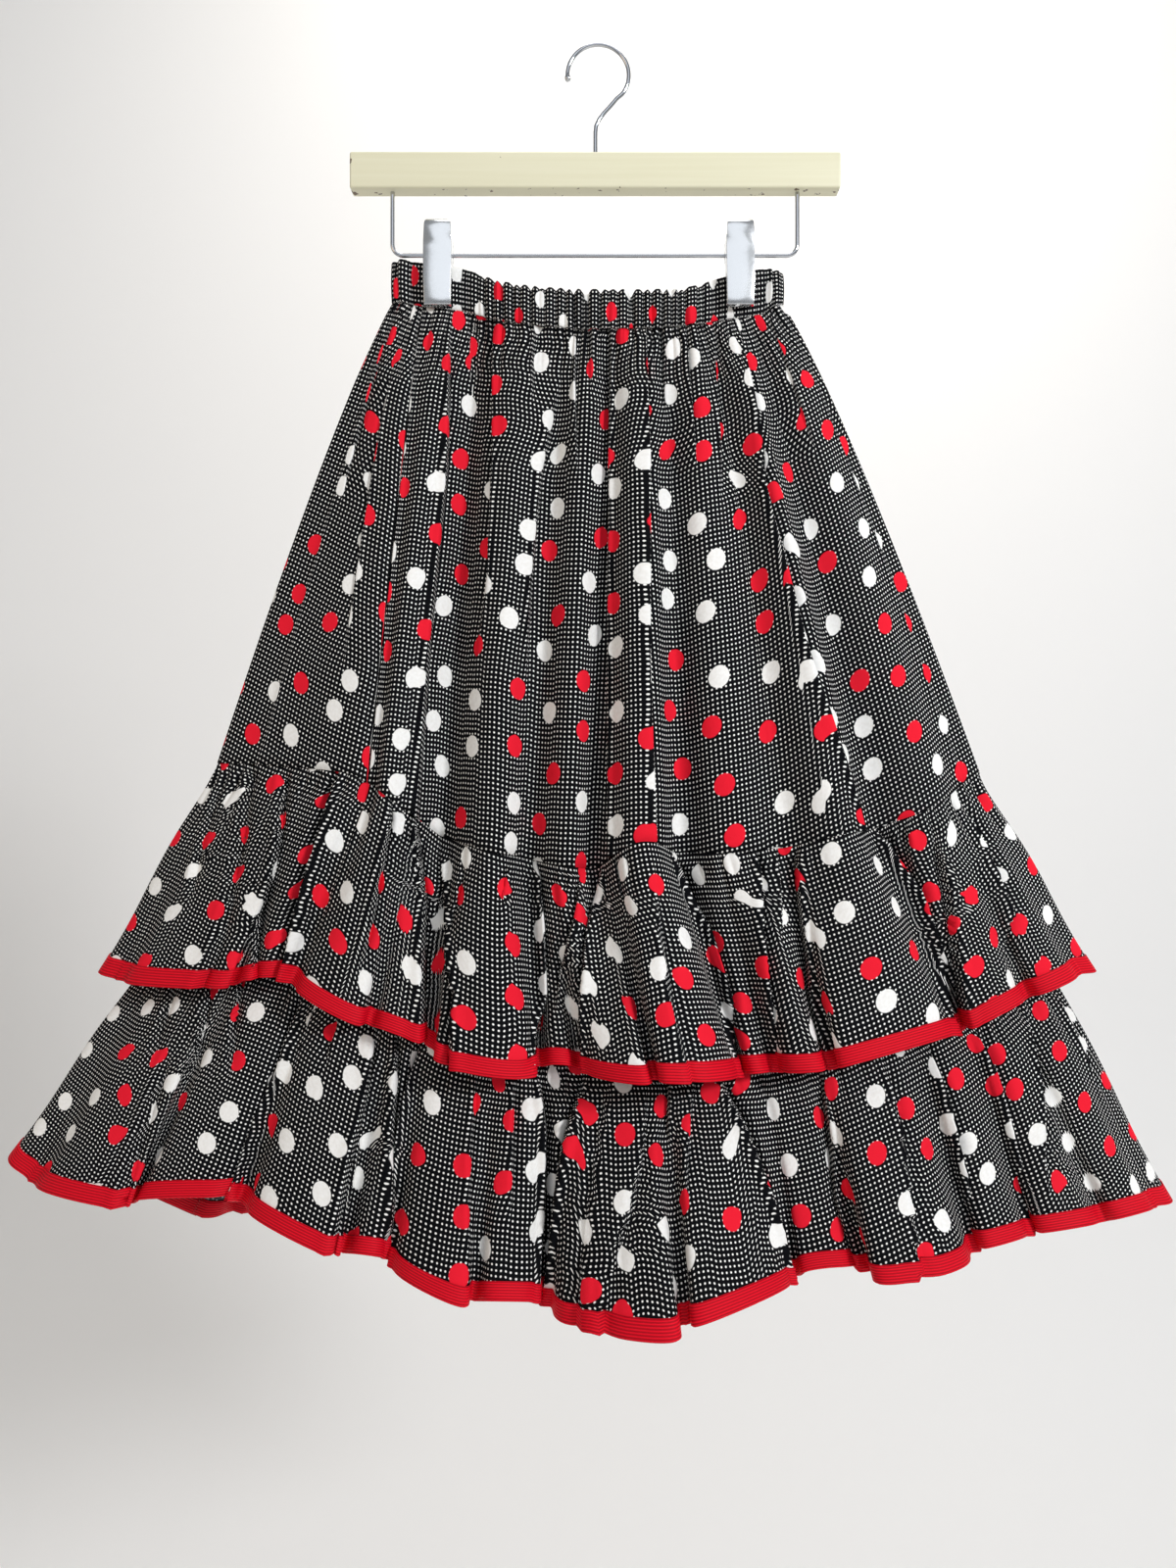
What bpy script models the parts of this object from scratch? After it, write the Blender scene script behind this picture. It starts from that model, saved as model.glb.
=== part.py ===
"""A gathered skirt with two ruffles, hanging from a wooden bar hanger by two clips.

The origin is the inside of the hook's top, where the hanger rests on a peg.
X runs to the right across the skirt, Y runs back into the wall side, Z is up.
Sizes are in millimetres and become metres when a mesh is made.
"""
import math
from collections import namedtuple

import bmesh
import bpy
import numpy as np

MM = 0.001

# Cloth, seams and trim
CLOTH_WALL = 1.2
CASING_WALL = 2.4
BRAID_WALL = 2.8
BRAID_HEIGHT = 12.0
SEAM_GAP = 0.3
UNDER_TIER_INSET = CLOTH_WALL + SEAM_GAP
UNDER_TIER_DEPTH, TIER_FULL_DEPTH = 8.0, 20.0

# Gathers: how far each kind stands out from the cloth it is drawn up on
WAIST_GATHER = 1.5
WAIST_SCALLOP = 0.8
RUFFLE_GATHER = 4.5
GATHER_FULL_ROOM = 4.0
RUFFLE_PUFF = 9.0

# Wire, bar and clips of the hanger
WIRE_RADIUS = 1.6
HOOK_RADIUS = 22.4
STEM_X = -2.0
BAR_WIDTH, BAR_DEPTH, BAR_HEIGHT = 356.7, 14.5, 26.3
BAR_CENTRE_X, BAR_TOP_Z = -2.2, -80.1
BAR_EDGE_ROUND = 1.6
BAIL_LEFT_X, BAIL_RIGHT_X, BAIL_Z, BAIL_CORNER = -150.4, 145.7, -152.8, 8.0
CLIP_WIDTH, CLIP_HEIGHT, CLIP_TOP_ABOVE_WIRE = 20.6, 63.0, 22.6
CLIP_PLATE = 1.2
CLIP_FRONT_Y = 11.6
JAW_Y = 3.4
CLIP_CENTRES_X = (-116.3, 102.9)
CLIP_PRESS_HALF_WIDTH, CLIP_RELEASE = 17.0, 10.0
WAIST_FULL_DEPTH = 6.0

# The waistband from its left end along the front to its right end; the back mirrors it.
WaistStation = namedtuple("WaistStation", "x y top_z bottom_z")
WAIST_FRONT = [
    WaistStation(-150.0, 0.0, -158.0, -188.0),
    WaistStation(-143.0, -4.4, -157.5, -188.0),
    WaistStation(-132.0, -1.8, -158.5, -190.0),
    WaistStation(-100.0, -1.8, -163.0, -194.0),
    WaistStation(-70.0, -9.5, -176.0, -203.5),
    WaistStation(-38.0, -13.6, -182.0, -209.0),
    WaistStation(-5.0, -14.6, -184.0, -211.5),
    WaistStation(30.0, -13.2, -183.5, -210.5),
    WaistStation(62.0, -9.5, -180.5, -207.0),
    WaistStation(87.0, -1.8, -170.5, -201.0),
    WaistStation(119.0, -1.8, -163.5, -196.0),
    WaistStation(128.0, -4.4, -164.5, -191.0),
    WaistStation(134.6, 0.0, -167.0, -189.0),
]

# One row for each fold of the body at its bottom edge: the trough, the ridge after it,
# and where the two start along the waistband, measured from its left end.
BodyFold = namedtuple("BodyFold", "trough_x trough_y trough_z ridge_x ridge_y ridge_z "
                                  "trough_waist ridge_waist")
BODY_FRONT_FOLDS = [
    BodyFold(-264, 13, -523, -277, -2, -524, -10, 2),
    BodyFold(-243, -19, -525, -179, -47, -531, 8, 18),
    BodyFold(-157, -47, -539, -142, -58, -550, 25, 44),
    BodyFold(-112, -27, -576, -75, -61, -585, 66, 92),
    BodyFold(-48, -39, -592, -23, -61, -595, 130, 146),
    BodyFold(-5, -43, -598, 27, -75, -578, 163, 181),
    BodyFold(58, -44, -587, 87, -63, -586, 202, 219),
    BodyFold(127, -54, -583, 166, -68, -573, 233, 248),
    BodyFold(192, -37, -571, 232, -39, -556, 263, 276),
    BodyFold(262, -15, -540, 278, -1, -531, 286, 292),
]
BODY_BACK_FOLD_COUNT = 7
BODY_BACK_START = (264, 13, -532)
BODY_BACK_END = (-264, 13, -523)
BODY_BACK_TROUGH_Y, BODY_BACK_RIDGE_Y, BODY_BACK_MIDDLE_Z = 12.0, 30.0, -596.0

# One row for each wave at a ruffle's hem: the hollow, then the crest after it.
Wave = namedtuple("Wave", "hollow_x hollow_y hollow_z crest_x crest_y crest_z")
UPPER_FRONT_WAVES = [
    Wave(-346, 16, -676, -364, 0, -676),
    Wave(-346, -16, -680, -292, -44, -681),
    Wave(-256, -37, -680, -231, -51, -673),
    Wave(-213, -46, -677, -182, -70, -693),
    Wave(-156, -58, -704, -134, -72, -708),
    Wave(-115, -60, -719, -77, -92, -730),
    Wave(-39, -62, -731, -26, -74, -727),
    Wave(-14, -64, -732, 14, -106, -731),
    Wave(36, -98, -731, 64, -114, -729),
    Wave(97, -63, -736, 105, -78, -732),
    Wave(119, -64, -734, 136, -88, -729),
    Wave(158, -72, -730, 194, -88, -716),
    Wave(256, -38, -712, 276, -50, -699),
    Wave(306, -24, -691, 324, -32, -683),
    Wave(347, -15, -676, 363, 1, -676),
]
LOWER_FRONT_WAVES = [
    Wave(-408, 17, -812, -429, -1, -810),
    Wave(-408, -18, -824, -355, -50, -828),
    Wave(-330, -34, -834, -284, -54, -823),
    Wave(-249, -42, -830, -202, -82, -842),
    Wave(-173, -66, -856, -154, -80, -852),
    Wave(-143, -66, -860, -109, -100, -870),
    Wave(-82, -90, -878, -58, -102, -873),
    Wave(-37, -78, -884, 12, -134, -882),
    Wave(54, -124, -878, 88, -130, -866),
    Wave(131, -78, -868, 150, -86, -858),
    Wave(179, -76, -864, 208, -103, -859),
    Wave(259, -52, -859, 274, -64, -851),
    Wave(305, -34, -855, 324, -48, -847),
    Wave(358, -28, -849, 377, -34, -842),
    Wave(400, -17, -843, 418, 0, -842),
]
# The plain back waves run from the right side to the left side.
BackRun = namedtuple("BackRun", "count right_x left_x side_z middle_z hollow_y crest_y")
UPPER_BACK = BackRun(7, 346, -346, -676, -736, 24.0, 38.0)
LOWER_BACK = BackRun(7, 400, -408, -838, -884, 8.0, 36.0)

BACK_EDGE_Y = 17.0

# The hidden seam that carries the lower ruffle
SeamStation = namedtuple("SeamStation", "x y z")
LOWER_SEAM = [
    SeamStation(-311, 8, -662),
    SeamStation(-326, -1, -662),
    SeamStation(-285, -14, -662),
    SeamStation(-218, -28, -660),
    SeamStation(-150, -42, -684),
    SeamStation(-90, -51, -710),
    SeamStation(0, -54, -716),
    SeamStation(110, -52, -716),
    SeamStation(190, -46, -702),
    SeamStation(255, -30, -690),
    SeamStation(312, -12, -670),
    SeamStation(326, 0, -664),
    SeamStation(318, 6, -664),
    SeamStation(200, 8, -690),
    SeamStation(0, 9, -712),
    SeamStation(-200, 9, -690),
]

# Columns of the mesh along one wave, closest together on its steep sides
WAVE_STEPS = (0.05, 0.19, 0.34, 0.5, 0.66, 0.81, 0.95)
# How far the sides of a wide wave are drawn in under its crest, and from what width
FULL_TUCK, FULL_TUCK_WIDTH = 1.1, 72.0
# Which of these columns carry a gather's crest where the ruffle is sewn on
GATHER_PATTERN = (0.0, 1.0, 0.1, 0.0, 1.0, 0.1, 0.0)
BODY_ROWS = (0.0, 0.08, 0.22, 0.45, 0.72, 1.0)
RUFFLE_ROWS = (0.0, 0.13, 0.38)
SIDE_SEAM_LEFT_X = -163.0


def smooth_step(value):
    """Ease a fraction from 0 to 1 with level ends."""
    value = np.clip(value, 0.0, 1.0)
    return value * value * (3.0 - 2.0 * value)


def closed_curve(rows, points_a_span=12):
    """A smooth closed curve through the rows that never swings past them in any column."""
    rows = np.asarray(rows, dtype=float)
    step_in, step_out = rows - np.roll(rows, 1, 0), np.roll(rows, -1, 0) - rows
    same_way = step_in * step_out > 0
    slopes = np.where(same_way, 2 * step_in * step_out / np.where(same_way, step_in + step_out, 1.0), 0.0)
    after, end_slopes = np.roll(rows, -1, 0), np.roll(slopes, -1, 0)
    curve = []
    for index in range(len(rows)):
        for step in range(points_a_span):
            t = step / points_a_span
            curve.append((2 * t**3 - 3 * t**2 + 1) * rows[index] + (t**3 - 2 * t**2 + t) * slopes[index]
                         + (3 * t**2 - 2 * t**3) * after[index] + (t**3 - t**2) * end_slopes[index])
    return np.array(curve)


def wave_between(hollow, crest, next_hollow, t, tuck):
    """A point of one wave; tuck pulls its sides together under a broad crest."""
    along = t + tuck * (0.7 * math.sin(4 * math.pi * t) / (4 * math.pi)
                        - math.sin(2 * math.pi * t) / (2 * math.pi))
    rise = ((1 - math.cos(2 * math.pi * t)) / 2) ** 0.9
    return hollow + (next_hollow - hollow) * along + (crest - (hollow + next_hollow) / 2) * rise


def wave_tuck(hollow, next_hollow):
    """Wide waves have steep sides, narrow ones are plain."""
    return FULL_TUCK * min(1.0, np.linalg.norm((next_hollow - hollow)[:2]) / FULL_TUCK_WIDTH)


def back_waves(run):
    """The regular waves of a ruffle's back, which hangs flat in front of the wall."""
    waves = []
    half = abs(run.right_x)
    pitch = (run.right_x - run.left_x) / run.count
    for index in range(run.count):
        hollow_x = run.right_x - pitch * index
        crest_x = hollow_x - pitch * (0.5 + 0.08 * math.sin(index * 2.1))
        hollow_z, crest_z = (run.middle_z + (run.side_z - run.middle_z) * min(1, abs(x / half)) ** 2
                             for x in (hollow_x, crest_x))
        hollow_y = BACK_EDGE_Y if index == 0 else run.hollow_y
        waves.append(Wave(hollow_x, hollow_y, hollow_z, crest_x, run.crest_y, crest_z))
    return waves


def body_back_folds():
    """The broad folds of the body's back, from the right side seam to the left side."""
    folds = []
    start, end = BODY_BACK_START, BODY_BACK_END
    for index in range(BODY_BACK_FOLD_COUNT):
        trough, ridge = index / BODY_BACK_FOLD_COUNT, (index + 0.5) / BODY_BACK_FOLD_COUNT
        values = []
        for place, depth in ((trough, BODY_BACK_TROUGH_Y), (ridge, BODY_BACK_RIDGE_Y)):
            x = start[0] + (end[0] - start[0]) * place
            side_z = start[2] + (end[2] - start[2]) * place
            z = side_z + (BODY_BACK_MIDDLE_Z - side_z) * (1 - (x / start[0]) ** 2)
            values += [x, depth, z]
        folds.append(BodyFold(*values, 302 + 272 * trough, 302 + 272 * ridge))
    return folds


class Ring:
    """A dense closed line that gives its point at a distance along it."""

    def __init__(self, points):
        self.points = np.vstack([points, points[:1]])
        steps = np.linalg.norm(np.diff(self.points[:, :3], axis=0), axis=1)
        self.marks = np.concatenate([[0.0], np.cumsum(steps)])
        self.length = self.marks[-1]

    def at(self, distance):
        distance = np.asarray(distance) % self.length
        return np.stack([np.interp(distance, self.marks, column) for column in self.points.T], axis=-1)

    def distance_at(self, index):
        return self.marks[index]


def waist_ring():
    """The waistband's line, with columns x, y, top_z and bottom_z."""
    front = [list(row) for row in WAIST_FRONT]
    back = [[row.x, -row.y, row.top_z, row.bottom_z] for row in WAIST_FRONT[-2:0:-1]]
    return closed_curve(front + back)


def flat_lengths(points):
    """Distances along a closed line seen from above."""
    closed = np.vstack([points, points[:1]])
    return np.concatenate([[0.0], np.cumsum(np.hypot(*np.diff(closed[:, :2], axis=0).T))])


def waist_at(distance):
    """x, y, top_z and bottom_z of the waistband at distances from its left end."""
    line = waist_ring()
    marks = flat_lengths(line)
    closed = np.vstack([line, line[:1]])
    distance = np.asarray(distance) % marks[-1]
    return np.stack([np.interp(distance, marks, column) for column in closed.T], axis=-1)


STEPS_A_FOLD = 24


def body_seam_ring():
    """The body's bottom edge; a fourth column says where its cloth meets the waistband."""
    folds = BODY_FRONT_FOLDS + body_back_folds()
    waist_length = flat_lengths(waist_ring())[-1]
    points = []
    for index, fold in enumerate(folds):
        following = folds[(index + 1) % len(folds)]
        trough = np.array([fold.trough_x, fold.trough_y, fold.trough_z], float)
        ridge = np.array([fold.ridge_x, fold.ridge_y, fold.ridge_z], float)
        next_trough = np.array([following.trough_x, following.trough_y, following.trough_z], float)
        next_waist = following.trough_waist + (waist_length if index == len(folds) - 1 else 0)
        for step in range(STEPS_A_FOLD):
            t = step / STEPS_A_FOLD
            place = wave_between(trough, ridge, next_trough, t, 0.15)
            waist = np.interp(t, (0, 0.5, 1), (fold.trough_waist, fold.ridge_waist, next_waist))
            points.append([*place, waist])
    return Ring(np.array(points))


def hem_columns(waves, side_index):
    """Hem points for every mesh column, and their share of the cloth in each half."""
    points = []
    for index, wave in enumerate(waves):
        following = waves[(index + 1) % len(waves)]
        hollow = np.array([wave.hollow_x, wave.hollow_y, wave.hollow_z], float)
        crest = np.array([wave.crest_x, wave.crest_y, wave.crest_z], float)
        next_hollow = np.array([following.hollow_x, following.hollow_y, following.hollow_z], float)
        tuck = wave_tuck(hollow, next_hollow)
        points += [wave_between(hollow, crest, next_hollow, t, tuck) for t in WAVE_STEPS]
    points = np.array(points)
    closed = np.vstack([points, points[:1]])
    marks = np.concatenate([[0.0], np.cumsum(np.linalg.norm(np.diff(closed, axis=0), axis=1))])
    side = side_index * len(WAVE_STEPS)
    share = np.where(np.arange(len(points)) < side, marks[:-1] / marks[side],
                     1 + (marks[:-1] - marks[side]) / (marks[-1] - marks[side]))
    return points, share


def spread_on(ring, share, side_distance):
    """Distances along a seam that share its cloth evenly within each half."""
    return np.where(share < 1, share * side_distance,
                    side_distance + (share - 1) * (ring.length - side_distance))


def level_normals(row):
    """Outward directions across a closed row of points, kept level."""
    tangent = np.roll(row, -1, 0)[:, :2] - np.roll(row, 1, 0)[:, :2]
    normal = np.stack([tangent[:, 1], -tangent[:, 0]], axis=1)
    normal /= np.maximum(np.linalg.norm(normal, axis=1, keepdims=True), 1e-9)
    return np.hstack([normal, np.zeros((len(row), 1))])


def column_room(row):
    """The free width at each column: half the way between its two neighbours."""
    return np.linalg.norm(np.roll(row, -1, 0) - np.roll(row, 1, 0), axis=1) / 2


def outward(row):
    """Broad outward directions of the flattened tube that the skirt makes."""
    direction = np.stack([row[:, 0] / 300.0**2, row[:, 1] / 60.0**2, np.zeros(len(row))], axis=1)
    return direction / np.linalg.norm(direction, axis=1, keepdims=True)


def wall_mesh(name, rows, wall, first, last, material):
    """A cloth wall through the rows, from column first to column last, all round if they agree."""
    columns = len(rows[0])
    whole = (last - first) % columns == 0
    picked = [(first + step) % columns for step in range(columns if whole else (last - first) % columns + 1)]
    mesh = bmesh.new()
    sheets = []
    for side in (0.5, -0.5):
        sheet = []
        for row in rows:
            placed = row + level_normals(row) * wall * side
            sheet.append([mesh.verts.new(placed[column] * MM) for column in picked])
        sheets.append(sheet)
    outer, inner = sheets
    spans = len(picked) if whole else len(picked) - 1

    def quad(a, b, c, d):
        mesh.faces.new((a, b, c))
        mesh.faces.new((a, c, d))

    for column in range(spans):
        right = (column + 1) % len(picked)
        for row in range(len(rows) - 1):
            quad(outer[row][column], outer[row + 1][column], outer[row + 1][right], outer[row][right])
            quad(inner[row][column], inner[row][right], inner[row + 1][right], inner[row + 1][column])
        quad(outer[0][column], outer[0][right], inner[0][right], inner[0][column])
        quad(outer[-1][column], inner[-1][column], inner[-1][right], outer[-1][right])
    if not whole:
        for row in range(len(rows) - 1):
            quad(inner[row][0], inner[row + 1][0], outer[row + 1][0], outer[row][0])
            quad(outer[row][-1], outer[row + 1][-1], inner[row + 1][-1], inner[row][-1])
    bmesh.ops.recalc_face_normals(mesh, faces=mesh.faces)
    return make_object(name, mesh, material)


def make_object(name, mesh, material):
    """Put a finished mesh into the skirt's collection under its own name."""
    data = bpy.data.meshes.new(name)
    mesh.to_mesh(data)
    mesh.free()
    data.materials.append(material)
    data.shade_smooth()
    data.set_sharp_from_angle(angle=math.radians(50))
    piece = bpy.data.objects.new(name, data)
    skirt_collection.objects.link(piece)
    return piece


def make_material(name, colour, roughness, metallic=0.0):
    material = bpy.data.materials.new(name)
    material.use_nodes = True
    shader = material.node_tree.nodes["Principled BSDF"]
    shader.inputs["Base Color"].default_value = (*colour, 1.0)
    shader.inputs["Roughness"].default_value = roughness
    shader.inputs["Metallic"].default_value = metallic
    return material


for old in list(bpy.data.objects):
    bpy.data.objects.remove(old)
skirt_collection = bpy.data.collections.new("gathered_skirt")
bpy.context.scene.collection.children.link(skirt_collection)
cutters = bpy.data.collections.new("cutters")
bpy.context.scene.collection.children.link(cutters)

cotton = make_material("printed_cotton", (0.03, 0.03, 0.035), 0.9)
red_braid = make_material("red_braid", (0.62, 0.02, 0.03), 0.8)
cream_paint = make_material("cream_painted_wood", (0.80, 0.75, 0.55), 0.5)
chrome = make_material("chrome_wire", (0.75, 0.76, 0.78), 0.15, 1.0)
clip_steel = make_material("clip_steel", (0.80, 0.81, 0.82), 0.25, 1.0)


# Shared columns: every seam's two sides use the same ones, so their edges run together.
seam = body_seam_ring()
seam_side = seam.distance_at(len(BODY_FRONT_FOLDS) * STEPS_A_FOLD)
upper_waves = UPPER_FRONT_WAVES + back_waves(UPPER_BACK)
lower_waves = LOWER_FRONT_WAVES + back_waves(LOWER_BACK)
upper_hem, upper_share = hem_columns(upper_waves, len(UPPER_FRONT_WAVES))
lower_hem, lower_share = hem_columns(lower_waves, len(LOWER_FRONT_WAVES))
COLUMNS = len(upper_hem)
GATHERS = np.tile(GATHER_PATTERN, COLUMNS // len(GATHER_PATTERN))
WAIST_WAVE = np.where(np.arange(COLUMNS) % 2 == 0, 1.0, -1.0)

seam_row = seam.at(spread_on(seam, upper_share, seam_side))
waist_distance = seam_row[:, 3]
seam_row = seam_row[:, :3]
LOWER_SEAM_RIGHT = 12
lower_seam = Ring(closed_curve(LOWER_SEAM))
lower_seam_side = lower_seam.distance_at(LOWER_SEAM_RIGHT * 12)
lower_seam_row = lower_seam.at(spread_on(lower_seam, lower_share, lower_seam_side))


def waist_freedom(row):
    """How far the gathers can stand out: 0 in the jaws and where the front meets the back."""
    nearest = np.min([np.abs(row[:, 0] - centre) for centre in CLIP_CENTRES_X], axis=0)
    from_clips = smooth_step((nearest - CLIP_PRESS_HALF_WIDTH) / CLIP_RELEASE)
    from_back = np.minimum(1.0, np.abs(row[:, 1]) / WAIST_FULL_DEPTH)
    return from_clips * from_back * np.minimum(1.0, column_room(row) / GATHER_FULL_ROOM)


def waist_row(fraction, gather, scallop=0.0):
    """One row of the gathered waistband, at a fraction of its height from the top."""
    line = waist_at(waist_distance)
    row = np.stack([line[:, 0], line[:, 1], line[:, 2] + (line[:, 3] - line[:, 2]) * fraction], axis=1)
    wave = WAIST_WAVE * waist_freedom(row)
    row += level_normals(row) * (wave * gather)[:, None]
    row[:, 2] += wave * scallop
    return row


def below(row):
    """The row just under a seam, a little lower where the seam climbs."""
    step = np.roll(row, -1, 0) - row
    climb = np.abs(step[:, 2]) / np.maximum(np.hypot(step[:, 0], step[:, 1]), 1.0)
    climb = np.maximum(climb, np.roll(climb, 1))
    lower = row.copy()
    lower[:, 2] -= SEAM_GAP * (1.1 + 2.2 * np.minimum(climb, 1.4))
    return lower


def body_row(fraction):
    """One row of the body, between the waistband and the seam of the upper ruffle."""
    top = below(waist_row(1.0, 0.0))
    spread = fraction ** 0.86
    row = top + (seam_row - top) * np.stack([spread, fraction, fraction], axis=-1)
    side = np.sqrt(np.clip(1 - (seam_row[:, 0] / 279.0) ** 2, 0, 1))
    smooth_y = np.where(seam_row[:, 1] < 5, -56.0, 21.0) * side
    row[:, 1] += (seam_row[:, 1] - smooth_y) * (fraction ** 0.4 - fraction)
    wave = WAIST_WAVE * waist_freedom(top)
    fading = max(0.0, 1 - fraction / 0.3) ** 2
    return row + level_normals(top) * (wave * WAIST_GATHER * fading)[:, None]


def ruffle_row(top, hem, fraction):
    """One row of a ruffle, from its gathered top to its waved hem."""
    opening = fraction ** 1.12
    row = top + (hem - top) * np.array([opening, opening, fraction])
    gather = RUFFLE_GATHER * max(0.0, 1 - fraction / 0.5) * (1.0 if fraction < 0.05 else 1.25)
    puff = RUFFLE_PUFF * math.sin(math.pi * fraction) ** 2 * (1 - fraction)
    room = np.minimum(1.0, column_room(top) / (2 * GATHER_FULL_ROOM))
    return row + outward(top) * (GATHERS * gather * room + puff)[:, None]


def ruffle_rows(top, hem):
    """The cloth rows down to the braid's upper edge."""
    height = np.mean(top[:, 2] - hem[:, 2])
    braid_top = 1 - BRAID_HEIGHT / height
    return [ruffle_row(top, hem, fraction) for fraction in (*RUFFLE_ROWS, braid_top)]


def split_columns(row):
    """Columns of the left side seam on the front and of the right one behind the edge."""
    front_left = [c for c in range(len(UPPER_FRONT_WAVES) * len(WAVE_STEPS)) if row[c, 0] > SIDE_SEAM_LEFT_X]
    return front_left[0], len(UPPER_FRONT_WAVES) * len(WAVE_STEPS)


left_seam, right_seam = split_columns(seam_row)

def two_halves(name, rows, wall, material):
    """The front and the back of one tier, parted at the side seams."""
    for half, first, last in (("front", left_seam, right_seam), ("back", right_seam, left_seam)):
        opened = [part_at_seams(row, first, last) for row in rows]
        wall_mesh(f"{name}_{half}", opened, wall, first, last, material)


def part_at_seams(row, first, last):
    """Draw a half's edge columns back from the seam, so that the halves lie clear of each other."""
    moved = row.copy()
    for column, neighbour in ((first, first + 1), (last, last - 1)):
        column, neighbour = column % COLUMNS, neighbour % COLUMNS
        step = row[neighbour] - row[column]
        moved[column] += step / np.linalg.norm(step) * SEAM_GAP
    return moved


# Waistband: a turned casing drawn up by its elastic
waistband_rows = [waist_row(0.0, WAIST_GATHER, WAIST_SCALLOP), waist_row(0.45, WAIST_GATHER),
                  waist_row(1.0, WAIST_GATHER)]
wall_mesh("waistband", waistband_rows, CASING_WALL, 0, COLUMNS, cotton)

# Body, cut as a front and a back
two_halves("body", [body_row(fraction) for fraction in BODY_ROWS], CLOTH_WALL, cotton)

# Hidden tier behind the upper ruffle
tier_top = below(seam_row) - level_normals(seam_row) * UNDER_TIER_INSET
tier_inset = UNDER_TIER_DEPTH * np.minimum(1.0, np.abs(seam_row[:, 1]) / TIER_FULL_DEPTH)
tier_fall = seam_row + (lower_seam_row - seam_row) * 0.14 - outward(seam_row) * tier_inset[:, None]
two_halves("under_tier", [tier_top, tier_fall, lower_seam_row], CLOTH_WALL, cotton)

# Ruffles with the braid that binds their hems
for tier, top, hem in (("upper", below(seam_row), upper_hem), ("lower", below(lower_seam_row), lower_hem)):
    cloth_rows = ruffle_rows(top, hem)
    two_halves(f"{tier}_ruffle", cloth_rows, CLOTH_WALL, cotton)
    two_halves(f"{tier}_braid", [below(cloth_rows[-1]), ruffle_row(top, hem, 1.0)], BRAID_WALL, red_braid)


def wire(name, points, material, radii=None):
    """A wire along hand-set points in the XZ plane."""
    curve = bpy.data.curves.new(name, "CURVE")
    curve.dimensions = "3D"
    curve.bevel_depth = WIRE_RADIUS * MM
    curve.bevel_resolution = 2
    curve.use_fill_caps = True
    spline = curve.splines.new("POLY")
    spline.points.add(len(points) - 1)
    for index, (x, z) in enumerate(points):
        spline.points[index].co = (x * MM, 0.0, z * MM, 1.0)
        spline.points[index].radius = radii[index] if radii else 1.0
    curve.materials.append(material)
    piece = bpy.data.objects.new(name, curve)
    skirt_collection.objects.link(piece)
    return piece


def arc(centre_x, centre_z, radius, start, end, count):
    """Points on an arc, angles in degrees from +X towards +Z."""
    angles = [math.radians(start + (end - start) * step / (count - 1)) for step in range(count)]
    return [(centre_x + radius * math.cos(a), centre_z + radius * math.sin(a)) for a in angles]


def build_hook():
    """The swivel hook: a ball end, an open round, a slanting shank and a straight stem."""
    axis_radius = HOOK_RADIUS
    centre_z = WIRE_RADIUS - axis_radius
    round_part = arc(0.0, centre_z, axis_radius, 184, -38, 20)
    bar_top = BAR_TOP_Z + SEAM_GAP
    shank = [(13.6, -38.0), (9.0, -43.4), (4.2, -48.6), (0.6, -53.4), (STEM_X + 0.5, -58.0), (STEM_X, -63.0),
             (STEM_X, -71.0), (STEM_X, bar_top)]
    ball = [(-axis_radius + 0.6, centre_z - 4.4), (-axis_radius + 0.4, centre_z - 3.6)]
    points = ball + round_part + shank
    radii = [0.7, 1.35] + [1.5] + [1.0] * (len(points) - 3)
    wire("hanger_hook", points, chrome, radii)


def build_bail():
    """The wire rail under the bar that carries the two clips."""
    top = BAR_TOP_Z - BAR_HEIGHT - SEAM_GAP
    left = arc(BAIL_LEFT_X + BAIL_CORNER, BAIL_Z + BAIL_CORNER, BAIL_CORNER, 180, 270, 6)
    right = arc(BAIL_RIGHT_X - BAIL_CORNER, BAIL_Z + BAIL_CORNER, BAIL_CORNER, 270, 360, 6)
    wire("bail_wire", [(BAIL_LEFT_X, top)] + left + right + [(BAIL_RIGHT_X, top)], chrome)


def build_bar():
    """The wooden bar with its softened edges."""
    bpy.ops.mesh.primitive_cube_add(size=1.0)
    bar = bpy.context.object
    bar.name = "hanger_bar"
    bar.data.name = "hanger_bar"
    centre = (BAR_CENTRE_X * MM, 0.0, (BAR_TOP_Z - BAR_HEIGHT / 2) * MM)
    size = (BAR_WIDTH * MM, BAR_DEPTH * MM, BAR_HEIGHT * MM)
    for vertex in bar.data.vertices:
        vertex.co = [c + s * v for c, s, v in zip(centre, size, vertex.co)]
    bar.data.materials.append(cream_paint)
    edge = bar.modifiers.new("rounded_edges", "BEVEL")
    edge.width = BAR_EDGE_ROUND * MM
    edge.segments = 3
    move_to_collection(bar, skirt_collection)


def move_to_collection(piece, collection):
    for owner in list(piece.users_collection):
        owner.objects.unlink(piece)
    collection.objects.link(piece)


def plate_from_profile(profile, x_low, x_high):
    """A mesh swept across X from a closed side profile of (y, z) points."""
    mesh = bmesh.new()
    sides = [[mesh.verts.new((x * MM, y * MM, z * MM)) for y, z in profile] for x in (x_low, x_high)]
    mesh.faces.new(sides[0])
    mesh.faces.new(reversed(sides[1]))
    for index in range(len(profile)):
        after = (index + 1) % len(profile)
        mesh.faces.new((sides[0][index], sides[0][after], sides[1][after], sides[1][index]))
    bmesh.ops.recalc_face_normals(mesh, faces=mesh.faces)
    return mesh


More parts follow.
